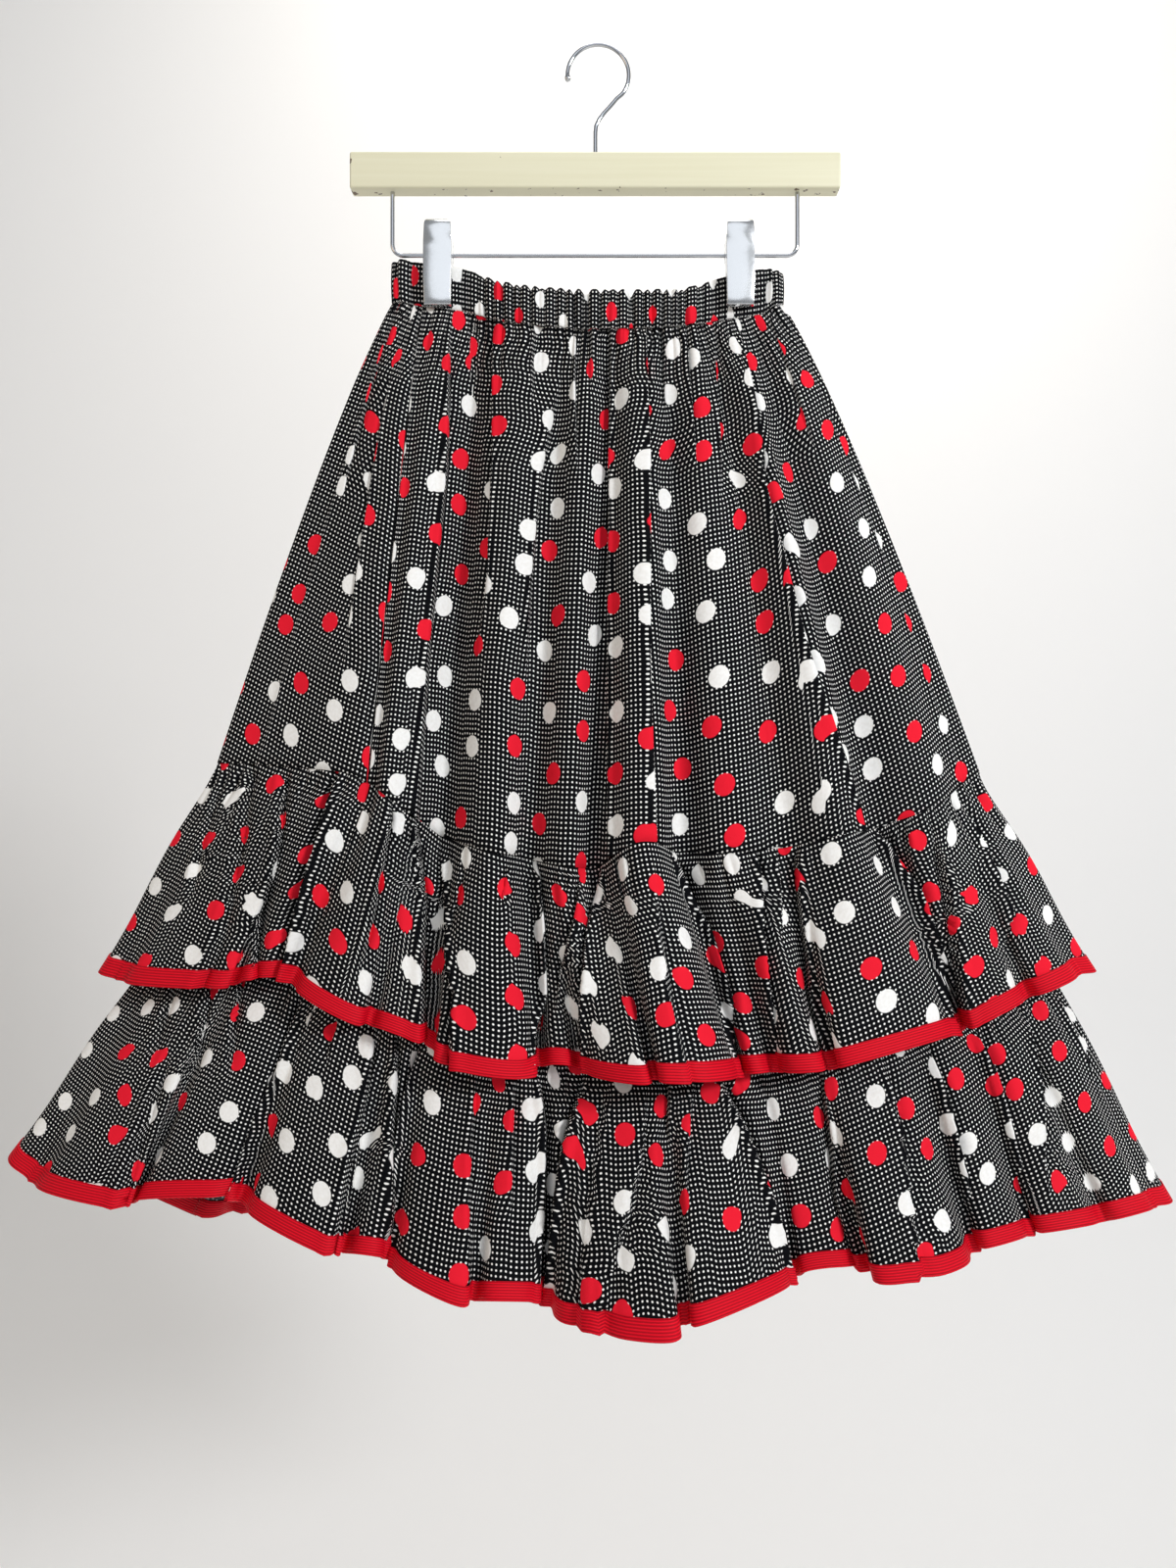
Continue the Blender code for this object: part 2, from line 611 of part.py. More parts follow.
def wire_cutter(name, x_low, x_high):
    """A rod a little thicker than the wire, which cuts the ears' holes."""
    bpy.ops.mesh.primitive_cylinder_add(vertices=12, radius=(WIRE_RADIUS + SEAM_GAP) * MM / math.cos(math.pi / 12),
                                        depth=(x_high - x_low) * MM,
                                        location=((x_low + x_high) / 2 * MM, 0.0, BAIL_Z * MM),
                                        rotation=(0.0, math.pi / 2, 0.0))
    cutter = bpy.context.object
    cutter.name = name
    cutter.hide_render = True
    cutter.display_type = "WIRE"
    move_to_collection(cutter, cutters)
    return cutter


EAR_DROP, EAR_RISE, EAR_BACK = 22.0, 9.0, 4.2


def clip_half(name, centre_x, side, width, ear_wall):
    """One pressed plate of a clip: a flat face, a jaw lip and two ears on the wire."""
    top = BAIL_Z + CLIP_TOP_ABOVE_WIRE
    bottom = top - CLIP_HEIGHT
    face, plate = CLIP_FRONT_Y, CLIP_PLATE
    outer = [(face - 3.0, top), (face - 0.6, top - 2.0), (face, top - 6.0), (face, bottom + 6.0),
             (face - 0.8, bottom + 1.6), (face - 2.8, bottom), (JAW_Y, bottom)]
    inner = [(JAW_Y, bottom + plate), (face - 3.0, bottom + plate), (face - plate - 0.6, bottom + 2.6),
             (face - plate, bottom + 6.4), (face - plate, top - 6.2), (face - plate - 0.6, top - 3.0),
             (face - 3.6, top - plate)]
    profile = [(side * y, z) for y, z in outer + inner]
    low, high = centre_x - width / 2, centre_x + width / 2
    mesh = plate_from_profile(profile, low, high)
    plate_piece = make_object(name, mesh, clip_steel)
    for ear_low in (low, high - ear_wall):
        ear_profile = [(-EAR_BACK, BAIL_Z - EAR_BACK), (-EAR_BACK, BAIL_Z + EAR_BACK),
                       (face - plate * 0.5, BAIL_Z + EAR_RISE), (face - plate * 0.5, BAIL_Z - EAR_DROP),
                       (EAR_BACK + 0.6, BAIL_Z - EAR_BACK * 2), (EAR_BACK, BAIL_Z - EAR_BACK)]
        ear = make_object(f"{name}_ear_shape", plate_from_profile([(side * y, z) for y, z in ear_profile],
                                                                  ear_low, ear_low + ear_wall), clip_steel)
        ear.hide_render = True
        ear.display_type = "WIRE"
        move_to_collection(ear, cutters)
        join = plate_piece.modifiers.new("ear", "BOOLEAN")
        join.operation = "UNION"
        join.object = ear
    bore = plate_piece.modifiers.new("wire_hole", "BOOLEAN")
    bore.operation = "DIFFERENCE"
    bore.object = wire_cutter(f"{name}_bore", low - 1, high + 1)


def clip_spring(name, centre_x, width):
    """The coiled spring on the wire between the ears, as a plain barrel."""
    outer, inner = 3.6, WIRE_RADIUS + SEAM_GAP
    profile = [(-width / 2, inner), (width / 2, inner), (width / 2, outer), (-width / 2, outer)]
    mesh = bmesh.new()
    rings = []
    for step in range(12):
        angle = 2 * math.pi * step / 12
        rings.append([mesh.verts.new(((centre_x + along) * MM, radius * math.cos(angle) * MM,
                                      (BAIL_Z + radius * math.sin(angle)) * MM)) for along, radius in profile])
    for step, ring in enumerate(rings):
        after = rings[(step + 1) % len(rings)]
        for index in range(4):
            following = (index + 1) % 4
            mesh.faces.new((ring[index], ring[following], after[following], after[index]))
    bmesh.ops.recalc_face_normals(mesh, faces=mesh.faces)
    make_object(name, mesh, clip_steel)


def build_clips():
    """Two spring clips that pinch the waistband."""
    back_width = CLIP_WIDTH - 2 * (CLIP_PLATE + SEAM_GAP)
    for name, centre_x in zip(("left", "right"), CLIP_CENTRES_X):
        clip_half(f"clip_{name}_front", centre_x, -1, CLIP_WIDTH, CLIP_PLATE)
        clip_half(f"clip_{name}_back", centre_x, 1, back_width, CLIP_PLATE)
        clip_spring(f"clip_{name}_spring", centre_x, back_width - 2 * CLIP_PLATE - 2 * SEAM_GAP)


build_hook()
build_bar()
build_bail()
build_clips()
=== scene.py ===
import math

import bmesh
import bpy
import numpy as np
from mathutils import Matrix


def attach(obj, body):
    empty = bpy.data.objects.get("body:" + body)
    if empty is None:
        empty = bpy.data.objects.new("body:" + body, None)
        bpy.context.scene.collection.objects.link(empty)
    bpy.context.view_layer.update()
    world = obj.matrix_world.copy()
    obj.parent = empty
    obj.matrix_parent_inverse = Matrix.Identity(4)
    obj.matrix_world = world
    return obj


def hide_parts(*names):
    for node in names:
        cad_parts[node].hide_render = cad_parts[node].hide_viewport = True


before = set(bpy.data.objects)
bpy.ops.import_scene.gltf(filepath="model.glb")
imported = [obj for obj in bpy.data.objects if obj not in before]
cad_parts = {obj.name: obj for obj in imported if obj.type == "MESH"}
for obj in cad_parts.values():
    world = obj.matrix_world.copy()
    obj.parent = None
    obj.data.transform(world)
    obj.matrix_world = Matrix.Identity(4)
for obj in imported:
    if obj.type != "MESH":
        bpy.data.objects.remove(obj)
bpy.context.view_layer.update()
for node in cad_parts.values():
    node.select_set(False)

# The black printed cotton of every sewn piece but the braid: pin dots in rows and large red and
# off-white dots. White dots swallow the pins that touch them, so their edges are ragged, and red
# ones cover the pins. Pitches are in millimetres, and sizes and blurs are shares of a pitch.
MM = 0.001
CLOTH = 0.5
PIN_ACROSS, PIN_DOWN, PIN_SIZE, PIN_BLUR = 3.3, 3.5, 0.205, 0.04
DOT_ACROSS, DOT_DOWN, DOT_SIZE, DOT_BLUR = 36.5, 38.5, 0.2, 0.008
DOT_SCATTER, DOT_WANDER, DRAWN_THREAD, INSIDE_FADE = 0.42, 0.8, 0.8, 0.45
# Blotches to the metre: where the dots' edges wander, the yarn is uneven and the cotton puckers
EDGE_BLOTCHES, YARN_BLOTCHES, PUCKER_BLOTCHES = 55.0, 420.0, 45.0


def colour(hex_code):
    """An sRGB hex value as the linear colour that a shader takes."""
    channels = [int(hex_code[place:place + 2], 16) / 255 for place in (1, 3, 5)]
    return (*[c / 12.92 if c <= 0.04045 else ((c + 0.055) / 1.055) ** 2.4 for c in channels], 1.0)


def add_node(material, kind, inputs=None, **settings):
    """A node with its settings, and its inputs filled with values or linked to outputs."""
    node = material.node_tree.nodes.new(f"ShaderNode{kind}")
    for name, value in settings.items():
        setattr(node, name, value)
    for socket, value in (inputs or {}).items():
        if isinstance(value, bpy.types.Node):
            value = value.outputs[0]
        if isinstance(value, bpy.types.NodeSocket):
            material.node_tree.links.new(value, node.inputs[socket])
        else:
            node.inputs[socket].default_value = value
    return node


def new_material(name, roughness, metallic=0.0, **sockets):
    """A material with its constant values set on the shader's own sockets."""
    material = bpy.data.materials.new(name)
    material.use_nodes = True
    shader = material.node_tree.nodes["Principled BSDF"]
    shader.inputs["Roughness"].default_value = roughness
    shader.inputs["Metallic"].default_value = metallic
    for socket, value in sockets.items():
        shader.inputs[socket.replace("_", " ")].default_value = value
    return material, shader


def printed_cotton(name, black, white, red, wrong_side=False):
    """Cotton poplin, woven and then pigment printed, so it is matt with almost no gleam."""
    material, shader = new_material(name, 0.8, Specular_IOR_Level=0.07)
    cloth = add_node(material, "UVMap", uv_map="cloth").outputs["UV"]
    blotches = add_node(material, "TexNoise", {"Vector": cloth, "Scale": EDGE_BLOTCHES, "Detail": 2.0},
                        noise_dimensions="2D")
    wander = add_node(material, "VectorMath", {0: blotches.outputs["Color"], 1: (0.5, 0.5, 0.5)},
                      operation="SUBTRACT")
    moved = add_node(material, "VectorMath", {0: wander, 1: (DOT_WANDER * MM,) * 3, 2: cloth},
                     operation="MULTIPLY_ADD")

    pin_cells = add_node(material, "VectorMath", {0: cloth, 1: (1000 / PIN_ACROSS, 1000 / PIN_DOWN, 0.0)},
                         operation="MULTIPLY")
    pins = add_node(material, "TexVoronoi", {"Vector": pin_cells, "Scale": 1.0, "Randomness": 0.0},
                    voronoi_dimensions="2D")
    pin = add_node(material, "MapRange", {"Value": pins.outputs["Distance"], "From Min": PIN_SIZE - PIN_BLUR,
                                          "From Max": PIN_SIZE + PIN_BLUR, "To Min": 1.0, "To Max": 0.0})

    dot_cells = add_node(material, "VectorMath", {0: moved, 1: (1000 / DOT_ACROSS, 1000 / DOT_DOWN, 0.0)},
                         operation="MULTIPLY")
    split = add_node(material, "SeparateXYZ", {0: dot_cells})
    middle = add_node(material, "Math", {0: split.outputs["X"], 1: (1 - DOT_SCATTER) / 2}, operation="ADD")
    column = add_node(material, "Math", {0: middle}, operation="FLOOR")
    odd = add_node(material, "Math", {0: column, 1: 2.0}, operation="FLOORED_MODULO")
    stagger = add_node(material, "Math", {0: odd, 1: 0.5, 2: split.outputs["Y"]}, operation="MULTIPLY_ADD")
    staggered = add_node(material, "CombineXYZ", {"X": split.outputs["X"], "Y": stagger})
    dots = add_node(material, "TexVoronoi", {"Vector": staggered, "Scale": 1.0, "Randomness": DOT_SCATTER},
                    voronoi_dimensions="2D")
    dot = add_node(material, "MapRange", {"Value": dots.outputs["Distance"], "From Min": DOT_SIZE - DOT_BLUR,
                                          "From Max": DOT_SIZE + DOT_BLUR, "To Min": 1.0, "To Max": 0.0})
    lot = add_node(material, "SeparateColor", {0: dots.outputs["Color"]})
    is_red = add_node(material, "Math", {0: lot.outputs["Blue"], 1: 0.5}, operation="GREATER_THAN")
    red_dot = add_node(material, "Math", {0: dot, 1: is_red}, operation="MULTIPLY")
    is_white = add_node(material, "Math", {0: 1.0, 1: is_red}, operation="SUBTRACT")
    white_dot = add_node(material, "Math", {0: dot, 1: is_white}, operation="MULTIPLY")
    any_white = add_node(material, "Math", {0: white_dot, 1: pin}, operation="MAXIMUM")

    yarn = add_node(material, "TexNoise", {"Vector": cloth, "Scale": YARN_BLOTCHES, "Detail": 3.0},
                    noise_dimensions="2D").outputs["Fac"]
    black_yarn, white_ink = (
        add_node(material, "Mix", {0: yarn, 6: colour(plain), 7: colour(uneven)}, data_type="RGBA")
        for plain, uneven in ((black, "#0d0e12"), (white, "#ece9e2")))
    with_white = add_node(material, "Mix", {0: any_white, 6: black_yarn.outputs[2], 7: white_ink.outputs[2]},
                          data_type="RGBA")
    printed = add_node(material, "Mix", {0: red_dot, 6: with_white.outputs[2], 7: colour(red)},
                       data_type="RGBA")
    if wrong_side:
        printed = add_node(material, "Mix", {0: INSIDE_FADE, 6: printed.outputs[2], 7: colour("#6f6e70")},
                           data_type="RGBA")
    material.node_tree.links.new(printed.outputs[2], shader.inputs["Base Color"])

    # The real weave is 0.25 mm between threads; it is drawn at 0.8 mm so that a render can show it.
    weave = add_node(material, "VectorMath", {0: cloth, 1: (1000 / DRAWN_THREAD, 1000 / DRAWN_THREAD, 0.0)},
                     operation="MULTIPLY")
    threads = add_node(material, "TexVoronoi", {"Vector": weave, "Scale": 1.0, "Randomness": 0.15},
                       voronoi_dimensions="2D")
    puckers = add_node(material, "TexNoise", {"Vector": cloth, "Scale": PUCKER_BLOTCHES, "Detail": 4.0,
                                              "Roughness": 0.55}, noise_dimensions="2D")
    relief = add_node(material, "Math", {0: puckers.outputs["Fac"], 1: 6.0, 2: threads.outputs["Distance"]},
                      operation="MULTIPLY_ADD")
    bump = add_node(material, "Bump", {"Height": relief, "Strength": 0.25, "Distance": 0.3 * MM})
    material.node_tree.links.new(bump.outputs["Normal"], shader.inputs["Normal"])
    return material


cotton = printed_cotton("printed_cotton_poplin", "#050608", "#fffefb", "#ef1f33")
# Less ink reaches the wrong side, so its colours are duller.
cotton_inside = printed_cotton("printed_cotton_wrong_side", "#1d1d20", "#e4e2dd", "#a8343c",
                               wrong_side=True)

# The body, a front and a back panel of cotton, cut straight and drawn up to less than half its
# width at the waist, so the print's columns fan out with the folds. Each fold of its bottom edge:
# the trough, then the ridge, and where both start round the waist.
FOLD = ("trough_x", "trough_y", "trough_z", "ridge_x", "ridge_y", "ridge_z", "trough_waist", "ridge_waist")
BODY_FRONT_FOLDS = [
    (-264, 13, -523, -277, -2, -524, -10, 2),
    (-243, -19, -525, -179, -47, -531, 8, 18),
    (-157, -47, -539, -142, -58, -550, 25, 44),
    (-112, -27, -576, -75, -61, -585, 66, 92),
    (-48, -39, -592, -23, -61, -595, 130, 146),
    (-5, -43, -598, 27, -75, -578, 163, 181),
    (58, -44, -587, 87, -63, -586, 202, 219),
    (127, -54, -583, 166, -68, -573, 233, 248),
    (192, -37, -571, 232, -39, -556, 263, 276),
    (262, -15, -540, 278, -1, -531, 286, 292),
]
BODY_BACK_FOLDS = 7
BACK_START, BACK_END, BACK_MIDDLE_Z = (264, 13, -532), (-264, 13, -523), -596.0
BACK_TROUGH_Y, BACK_RIDGE_Y = 12.0, 30.0
BACK_WAIST_START, BACK_WAIST_RUN = 302.0, 272.0
# The waist seen from above, from its left end: x, y, and how high the casing's top and bottom are
WAIST_FRONT = [
    (-150.0, 0.0, -158.0, -188.0),
    (-143.0, -4.4, -157.5, -188.0),
    (-132.0, -1.8, -158.5, -190.0),
    (-100.0, -1.8, -163.0, -194.0),
    (-70.0, -9.5, -176.0, -203.5),
    (-38.0, -13.6, -182.0, -209.0),
    (-5.0, -14.6, -184.0, -211.5),
    (30.0, -13.2, -183.5, -210.5),
    (62.0, -9.5, -180.5, -207.0),
    (87.0, -1.8, -170.5, -201.0),
    (119.0, -1.8, -163.5, -196.0),
    (128.0, -4.4, -164.5, -191.0),
    (134.6, 0.0, -167.0, -189.0),
]
# Sharp folds that show, where the cloth on one side lies over the other: the share of the height
# where each starts and ends, where it is along the cloth at four even steps from start to end, its
# depth, and the side that lies over.
FOLD_LINE = ("start", "end", "places", "depth", "over")
BODY_LINES = [
    (0.00, 1.00, (185, 201, 200, 204), 7.0, "left"),
    (0.00, 0.75, (252, 270, 273, 257), 4.5, "right"),
    (0.06, 0.72, (324, 312, 308, 311), 5.0, "left"),
    (0.00, 0.16, (300, 300, 301, 302), 3.0, "left"),
    (0.00, 0.30, (338, 342, 348, 355), 3.5, "left"),
    (0.00, 1.01, (383, 394, 399, 407), 6.0, "right"),
    (0.00, 1.01, (450, 445, 442, 446), 7.5, "left"),
    (0.00, 0.30, (514, 512, 512, 512), 3.0, "left"),
    (0.00, 0.36, (572, 558, 549, 538), 3.5, "left"),
    (0.00, 1.01, (622, 593, 602, 625), 7.5, "left"),
    (0.00, 0.12, (214, 219, 224, 229), 2.5, "left"),
    (0.00, 0.14, (361, 362, 363, 364), 2.5, "right"),
    (0.00, 0.20, (479, 479, 479, 479), 2.5, "right"),
    (0.00, 0.45, (60, 63, 68, 74), 2.5, "left"),
    (0.10, 0.80, (110, 114, 118, 120), 2.5, "right"),
    (0.00, 0.30, (690, 688, 685, 682), 2.5, "right"),
]
CURVE_STEPS, SEAM_STEPS = 48, 96
FRONT_COLUMNS, BACK_COLUMNS, BODY_ROWS, ROW_SPREAD = 660, 400, 64, 1.25
BODY_TUCK, BODY_FLARE, WAVES_SHOW = 0.15, 0.86, 0.4
SEAM_HALF_WIDTH, SEAM_FRONT_Y, SEAM_BACK_Y = 279.0, -56.0, 21.0
# Where the left side seam is in the front's cloth, and how far the two edges of a side seam part
LEFT_SHARE, TAKEN_BACK = 0.198, 0.3
# How readily plain cloth takes up spare print, and how near a fold's edge the print is hidden
SQUEEZE, CUT_WIDTH, TROUGH_CUT, PUCKER_CUT_WIDTH = 0.004, 2.4, 0.35, 1.1
HOLLOW_REACH, RIDGE_REACH, RIDGE_LIFT, OVERHANG, BACK_FOLD_PITCH = 18.0, 10.0, 0.4, 0.4, 46.0
CLIP_CENTRES, CLIP_PRESS, CLIP_RELEASE, CLIP_FADE = (-116.3, 102.9), 15.0, 10.0, 0.14
PUCKER_PITCH, PUCKER_DEPTH, PUCKER_LEAN, PUCKER_REACH = 6.4, 4.4, 1.6, 0.17
BODY_GATHER_PITCH, BODY_STAND_OFF = 15.0, 0.6
BODY_GATHERS = {"reach": (0.05, 0.16), "depth": 1.6, "half_width": 6.0, "drift": 4.0}
ROW_TILT, TILT_START, BACK_PRINT = 0.1922, 0.1, 317.0


def smooth_step(value):
    """An eased rise from 0 to 1."""
    value = np.clip(value, 0.0, 1.0)
    return value * value * (3.0 - 2.0 * value)


def closed_curve(rows):
    """A smooth closed curve through the rows that never swings past them in any column."""
    rows = np.asarray(rows, dtype=float)
    step_in, step_out = rows - np.roll(rows, 1, 0), np.roll(rows, -1, 0) - rows
    same_way = step_in * step_out > 0
    slopes = np.where(same_way, 2 * step_in * step_out / np.where(same_way, step_in + step_out, 1.0), 0.0)
    t = (np.arange(CURVE_STEPS) / CURVE_STEPS)[None, :, None]
    here, there = rows[:, None, :], np.roll(rows, -1, 0)[:, None, :]
    slope_here, slope_there = slopes[:, None, :], np.roll(slopes, -1, 0)[:, None, :]
    curve = ((2 * t**3 - 3 * t**2 + 1) * here + (t**3 - 2 * t**2 + t) * slope_here
             + (3 * t**2 - 2 * t**3) * there + (t**3 - t**2) * slope_there)
    return curve.reshape(-1, rows.shape[1])


def marks_along(points, axes=3):
    """Running length at each point of a closed line, with the whole length last."""
    steps = np.linalg.norm((np.roll(points, -1, 0) - points)[:, :axes], axis=1)
    return np.concatenate([[0.0], np.cumsum(steps)])


def read_line(points, marks, distance):
    """The line's values at distances along it."""
    closed = np.vstack([points, points[:1]])
    distance = np.asarray(distance) % marks[-1]
    return np.stack([np.interp(distance, marks, column) for column in closed.T], axis=-1)


def outward(row):
    """Broad outward directions of the flattened tube that the skirt makes."""
    direction = np.stack([row[:, 0] / 300.0**2, row[:, 1] / 60.0**2, np.zeros(len(row))], axis=1)
    return direction / np.linalg.norm(direction, axis=1, keepdims=True)


def wave_between(hollow, crest, next_hollow, t, tuck):
    """Points of one wave; tuck pulls its sides together under a broad crest."""
    t = t[:, None]
    along = t + tuck * (0.7 * np.sin(4 * np.pi * t) / (4 * np.pi) - np.sin(2 * np.pi * t) / (2 * np.pi))
    rise = ((1 - np.cos(2 * np.pi * t)) / 2) ** 0.9
    return hollow + (next_hollow - hollow) * along + (crest - (hollow + next_hollow) / 2) * rise


def away(distance, place, length):
    """Signed distance from a place along a closed line."""
    return (distance - place + length / 2) % length - length / 2


def gather_places(length, pitch, seed):
    """Where gathers lie along a seam: near even, never regular. Rows of place, size and lean."""
    luck = np.random.default_rng(seed)
    count = round(length / pitch)
    places = (np.arange(count) + luck.uniform(-0.32, 0.32, count)) * length / count
    return np.stack([places, luck.uniform(0.45, 1.25, count), luck.uniform(-1.0, 1.0, count)], axis=1)


def gather_field(cloth, length, fractions, spots, reach, depth, half_width, drift):
    """Small gathers that run down from a seam and fade out: how far they stand in, and their cut."""
    field = np.zeros((len(fractions), len(cloth)))
    cut = np.zeros_like(field)
    lengths = np.random.default_rng(len(spots)).uniform(*reach, len(spots))
    for (place, size, lean), far in zip(spots, lengths):
        run = (fractions / far)[:, None]
        strength = size * np.clip(1 - run, 0, 1) ** 1.3
        beside = np.abs(away(cloth[None, :], place + lean * drift * np.minimum(run, 1.0), length))
        field -= depth * strength * np.clip(1 - beside / (half_width * (1 + 0.9 * run)), 0, 1) ** 1.6
        cut += strength * np.clip(1 - beside / CUT_WIDTH, 0, 1)
    return field, cut


def fold_field(cloth, length, fractions, lines):
    """Folds where one side lies over the other: relief, overhang along the row, and hidden print."""
    field = np.zeros((len(fractions), len(cloth)))
    along, cut = np.zeros_like(field), np.zeros_like(field)
    for line in lines:
        line = dict(zip(FOLD_LINE, line))
        run = (fractions - line["start"]) / (line["end"] - line["start"])
        place = np.interp(run, (0, 1 / 3, 2 / 3, 1), line["places"])[:, None]
        fade = 1.0 if line["end"] >= 1.0 else smooth_step((1 - run) / 0.4)
        begun = 0.55 + 0.45 * smooth_step(run / 0.1) if line["start"] <= 0 else smooth_step(run / 0.25)
        strength = (begun * fade * (run >= 0) * (run <= 1))[:, None]
        over = 1.0 if line["over"] == "right" else -1.0
        beside = away(cloth[None, :], place, length) * over
        ridge = RIDGE_LIFT * np.clip(1 - beside / RIDGE_REACH, 0, 1) ** 1.5
        hollow = -np.clip(1 + beside / HOLLOW_REACH, 0, 1) ** 1.7
        step = smooth_step((beside + 1.1) / 2.2)
        field += strength * line["depth"] * (step * ridge + (1 - step) * hollow)
        along -= strength * over * line["depth"] * OVERHANG * np.exp(-((beside - 0.8) / 2.6) ** 2)
        cut += 3.0 * strength * np.clip(1 - np.abs(beside) / CUT_WIDTH, 0, 1)
    return field, along, cut


def unseen_lines(start, end, pitch, seed):
    """Fold lines like those of the photograph, for the sides that it does not show."""
    luck = np.random.default_rng(seed)
    lines = []
    for place in np.arange(start + pitch / 2, end - pitch / 3, pitch):
        place += luck.uniform(-0.3, 0.3) * pitch
        drift = luck.uniform(-14, 14)
        last = 1.01 if luck.uniform() < 0.45 else luck.uniform(0.25, 0.75)
        places = tuple(place + drift * step + luck.uniform(-3, 3) for step in (0, 0.33, 0.67, 1))
        lines.append((0.0, last, places, luck.uniform(3.0, 7.5), luck.choice(["left", "right"])))
    return lines


def waist_freedom(row):
    """How far the gathers can stand out: 0 in the clips' jaws and where the front meets the back."""
    nearest = np.min([np.abs(row[..., 0] - centre) for centre in CLIP_CENTRES], axis=0)
    return smooth_step((nearest - CLIP_PRESS) / CLIP_RELEASE) * np.minimum(1.0, np.abs(row[..., 1]) / 7.0)


def casing_gathers(distance, height, half_width, sharpness=1.0):
    """How far into a gather the casing is; height is 0 at its bottom, 1 at its top."""
    depth = np.zeros(np.broadcast(distance, height).shape)
    for place, size, lean in waist_puckers:
        beside = np.abs(away(distance, place + lean * PUCKER_LEAN * height, WAIST_LENGTH)) / half_width
        depth += size * np.clip(1 - beside, 0, 1) ** sharpness
    return depth


def pucker(distance, height):
    """Relief of the casing's gathers at distances round it."""
    return -PUCKER_DEPTH * casing_gathers(distance, height, PUCKER_PITCH / 2, 1.4)


def body_folds():
    """The folds of the body's bottom edge all round, plain and even behind."""
    folds = [dict(zip(FOLD, row)) for row in BODY_FRONT_FOLDS]
    for index in range(BODY_BACK_FOLDS):
        values = []
        for half, depth in ((0.0, BACK_TROUGH_Y), (0.5, BACK_RIDGE_Y)):
            place = (index + half) / BODY_BACK_FOLDS
            x = BACK_START[0] + (BACK_END[0] - BACK_START[0]) * place
            side_z = BACK_START[2] + (BACK_END[2] - BACK_START[2]) * place
            values += [x, depth, side_z + (BACK_MIDDLE_Z - side_z) * (1 - (x / BACK_START[0]) ** 2)]
        waist = [BACK_WAIST_START + BACK_WAIST_RUN * (index + half) / BODY_BACK_FOLDS for half in (0, 0.5)]
        folds.append(dict(zip(FOLD, values + waist)))
    return folds


def seam_line(steps):
    """The body's bottom edge, with the distance along the waist as a fourth column."""
    folds, points = body_folds(), []
    t = np.arange(steps) / steps
    for index, fold in enumerate(folds):
        following = folds[(index + 1) % len(folds)]
        ends = ((fold, "trough"), (fold, "ridge"), (following, "trough"))
        trough, ridge, next_trough = (np.array([row[f"{end}_{axis}"] for axis in "xyz"], float)
                                      for row, end in ends)
        next_waist = following["trough_waist"] + (WAIST_LENGTH if index == len(folds) - 1 else 0)
        waist = np.interp(t, (0, 0.5, 1), (fold["trough_waist"], fold["ridge_waist"], next_waist))
        points.append(np.column_stack([wave_between(trough, ridge, next_trough, t, BODY_TUCK), waist]))
    return np.vstack(points)


def flat_coordinates(points, cloth, length, cut, anchors):
    """The cloth's own coordinates: true to size on what shows, the rest hidden in its folds."""
    columns = points.shape[1]
    order = (anchors[0] + np.arange(columns)) % columns
    steps = np.linalg.norm(np.roll(points, -1, 1) - points, axis=2)[:, order]
    weights = cut[:, order] + SQUEEZE
    starts = np.array(anchors) - anchors[0]
    owner = np.repeat(np.arange(len(anchors)), np.diff(np.append(starts, columns)))
    fixed = np.append(cloth[anchors], cloth[anchors[0]] + length)
    spare = np.diff(fixed) - np.add.reduceat(steps, starts, axis=1)
    takers = np.where(spare[:, owner] > 0, weights, steps)
    widths = steps + spare[:, owner] * takers / np.add.reduceat(takers, starts, axis=1)[:, owner]
    unrolled = fixed[0] + np.hstack([np.zeros((len(points), 1)), np.cumsum(widths, axis=1)])
    before = columns - anchors[0]
    u = np.hstack([unrolled[:, before:columns] - length, unrolled[:, :before]])
    down = np.linalg.norm(points[1:] - points[:-1], axis=2)
    v = -np.vstack([np.zeros(columns), np.cumsum(down, axis=0)])
    return np.hstack([u, u[:, :1] + length]), v


def build_panel(name, points, cloth_u, cloth_v, first, last, whole=False, wall=CLOTH, outside=cotton,
                inside=cotton_inside):
    """A sewn piece from rows of points, with the cloth's own flat coordinates on it, and its thickness."""
    rows, columns = points.shape[0], points.shape[1]
    picked = np.arange(first, last + (0 if whole else 1))
    width = len(picked)
    verts = points[:, picked % columns].reshape(-1, 3) * MM
    spans = width if whole else width - 1
    r, c = np.meshgrid(np.arange(rows - 1), np.arange(spans), indexing="ij")
    right = (c + 1) % width
    upper, lower = r * width, (r + 1) * width
    faces = np.stack([upper + c, lower + c, lower + right, upper + right], axis=-1)
    mesh = bpy.data.meshes.new(name)
    mesh.from_pydata(verts.tolist(), [], faces.reshape(-1, 4).tolist())
    corner_rows = np.stack([r, r + 1, r + 1, r], axis=-1).reshape(-1)
    corner_columns = np.stack([c, c, c + 1, c + 1], axis=-1).reshape(-1) + first
    flat = np.stack([cloth_u[corner_rows, corner_columns],
                     cloth_v[corner_rows, corner_columns % columns]], axis=-1)
    mesh.uv_layers.new(name="cloth").data.foreach_set("uv", (flat * MM).astype(np.float32).ravel())
    mesh.materials.append(outside)
    mesh.materials.append(inside)
    piece = bpy.data.objects.new(name, mesh)
    bpy.context.scene.collection.objects.link(piece)
    if wall:
        thickness = piece.modifiers.new("thickness", "SOLIDIFY")
        thickness.thickness = wall * MM
        thickness.offset = 0.0
        thickness.material_offset = 1
        bpy.context.view_layer.objects.active = piece
        piece.select_set(True)
        bpy.ops.object.modifier_apply(modifier=thickness.name)
        piece.select_set(False)
    piece.data.shade_smooth()
    return piece


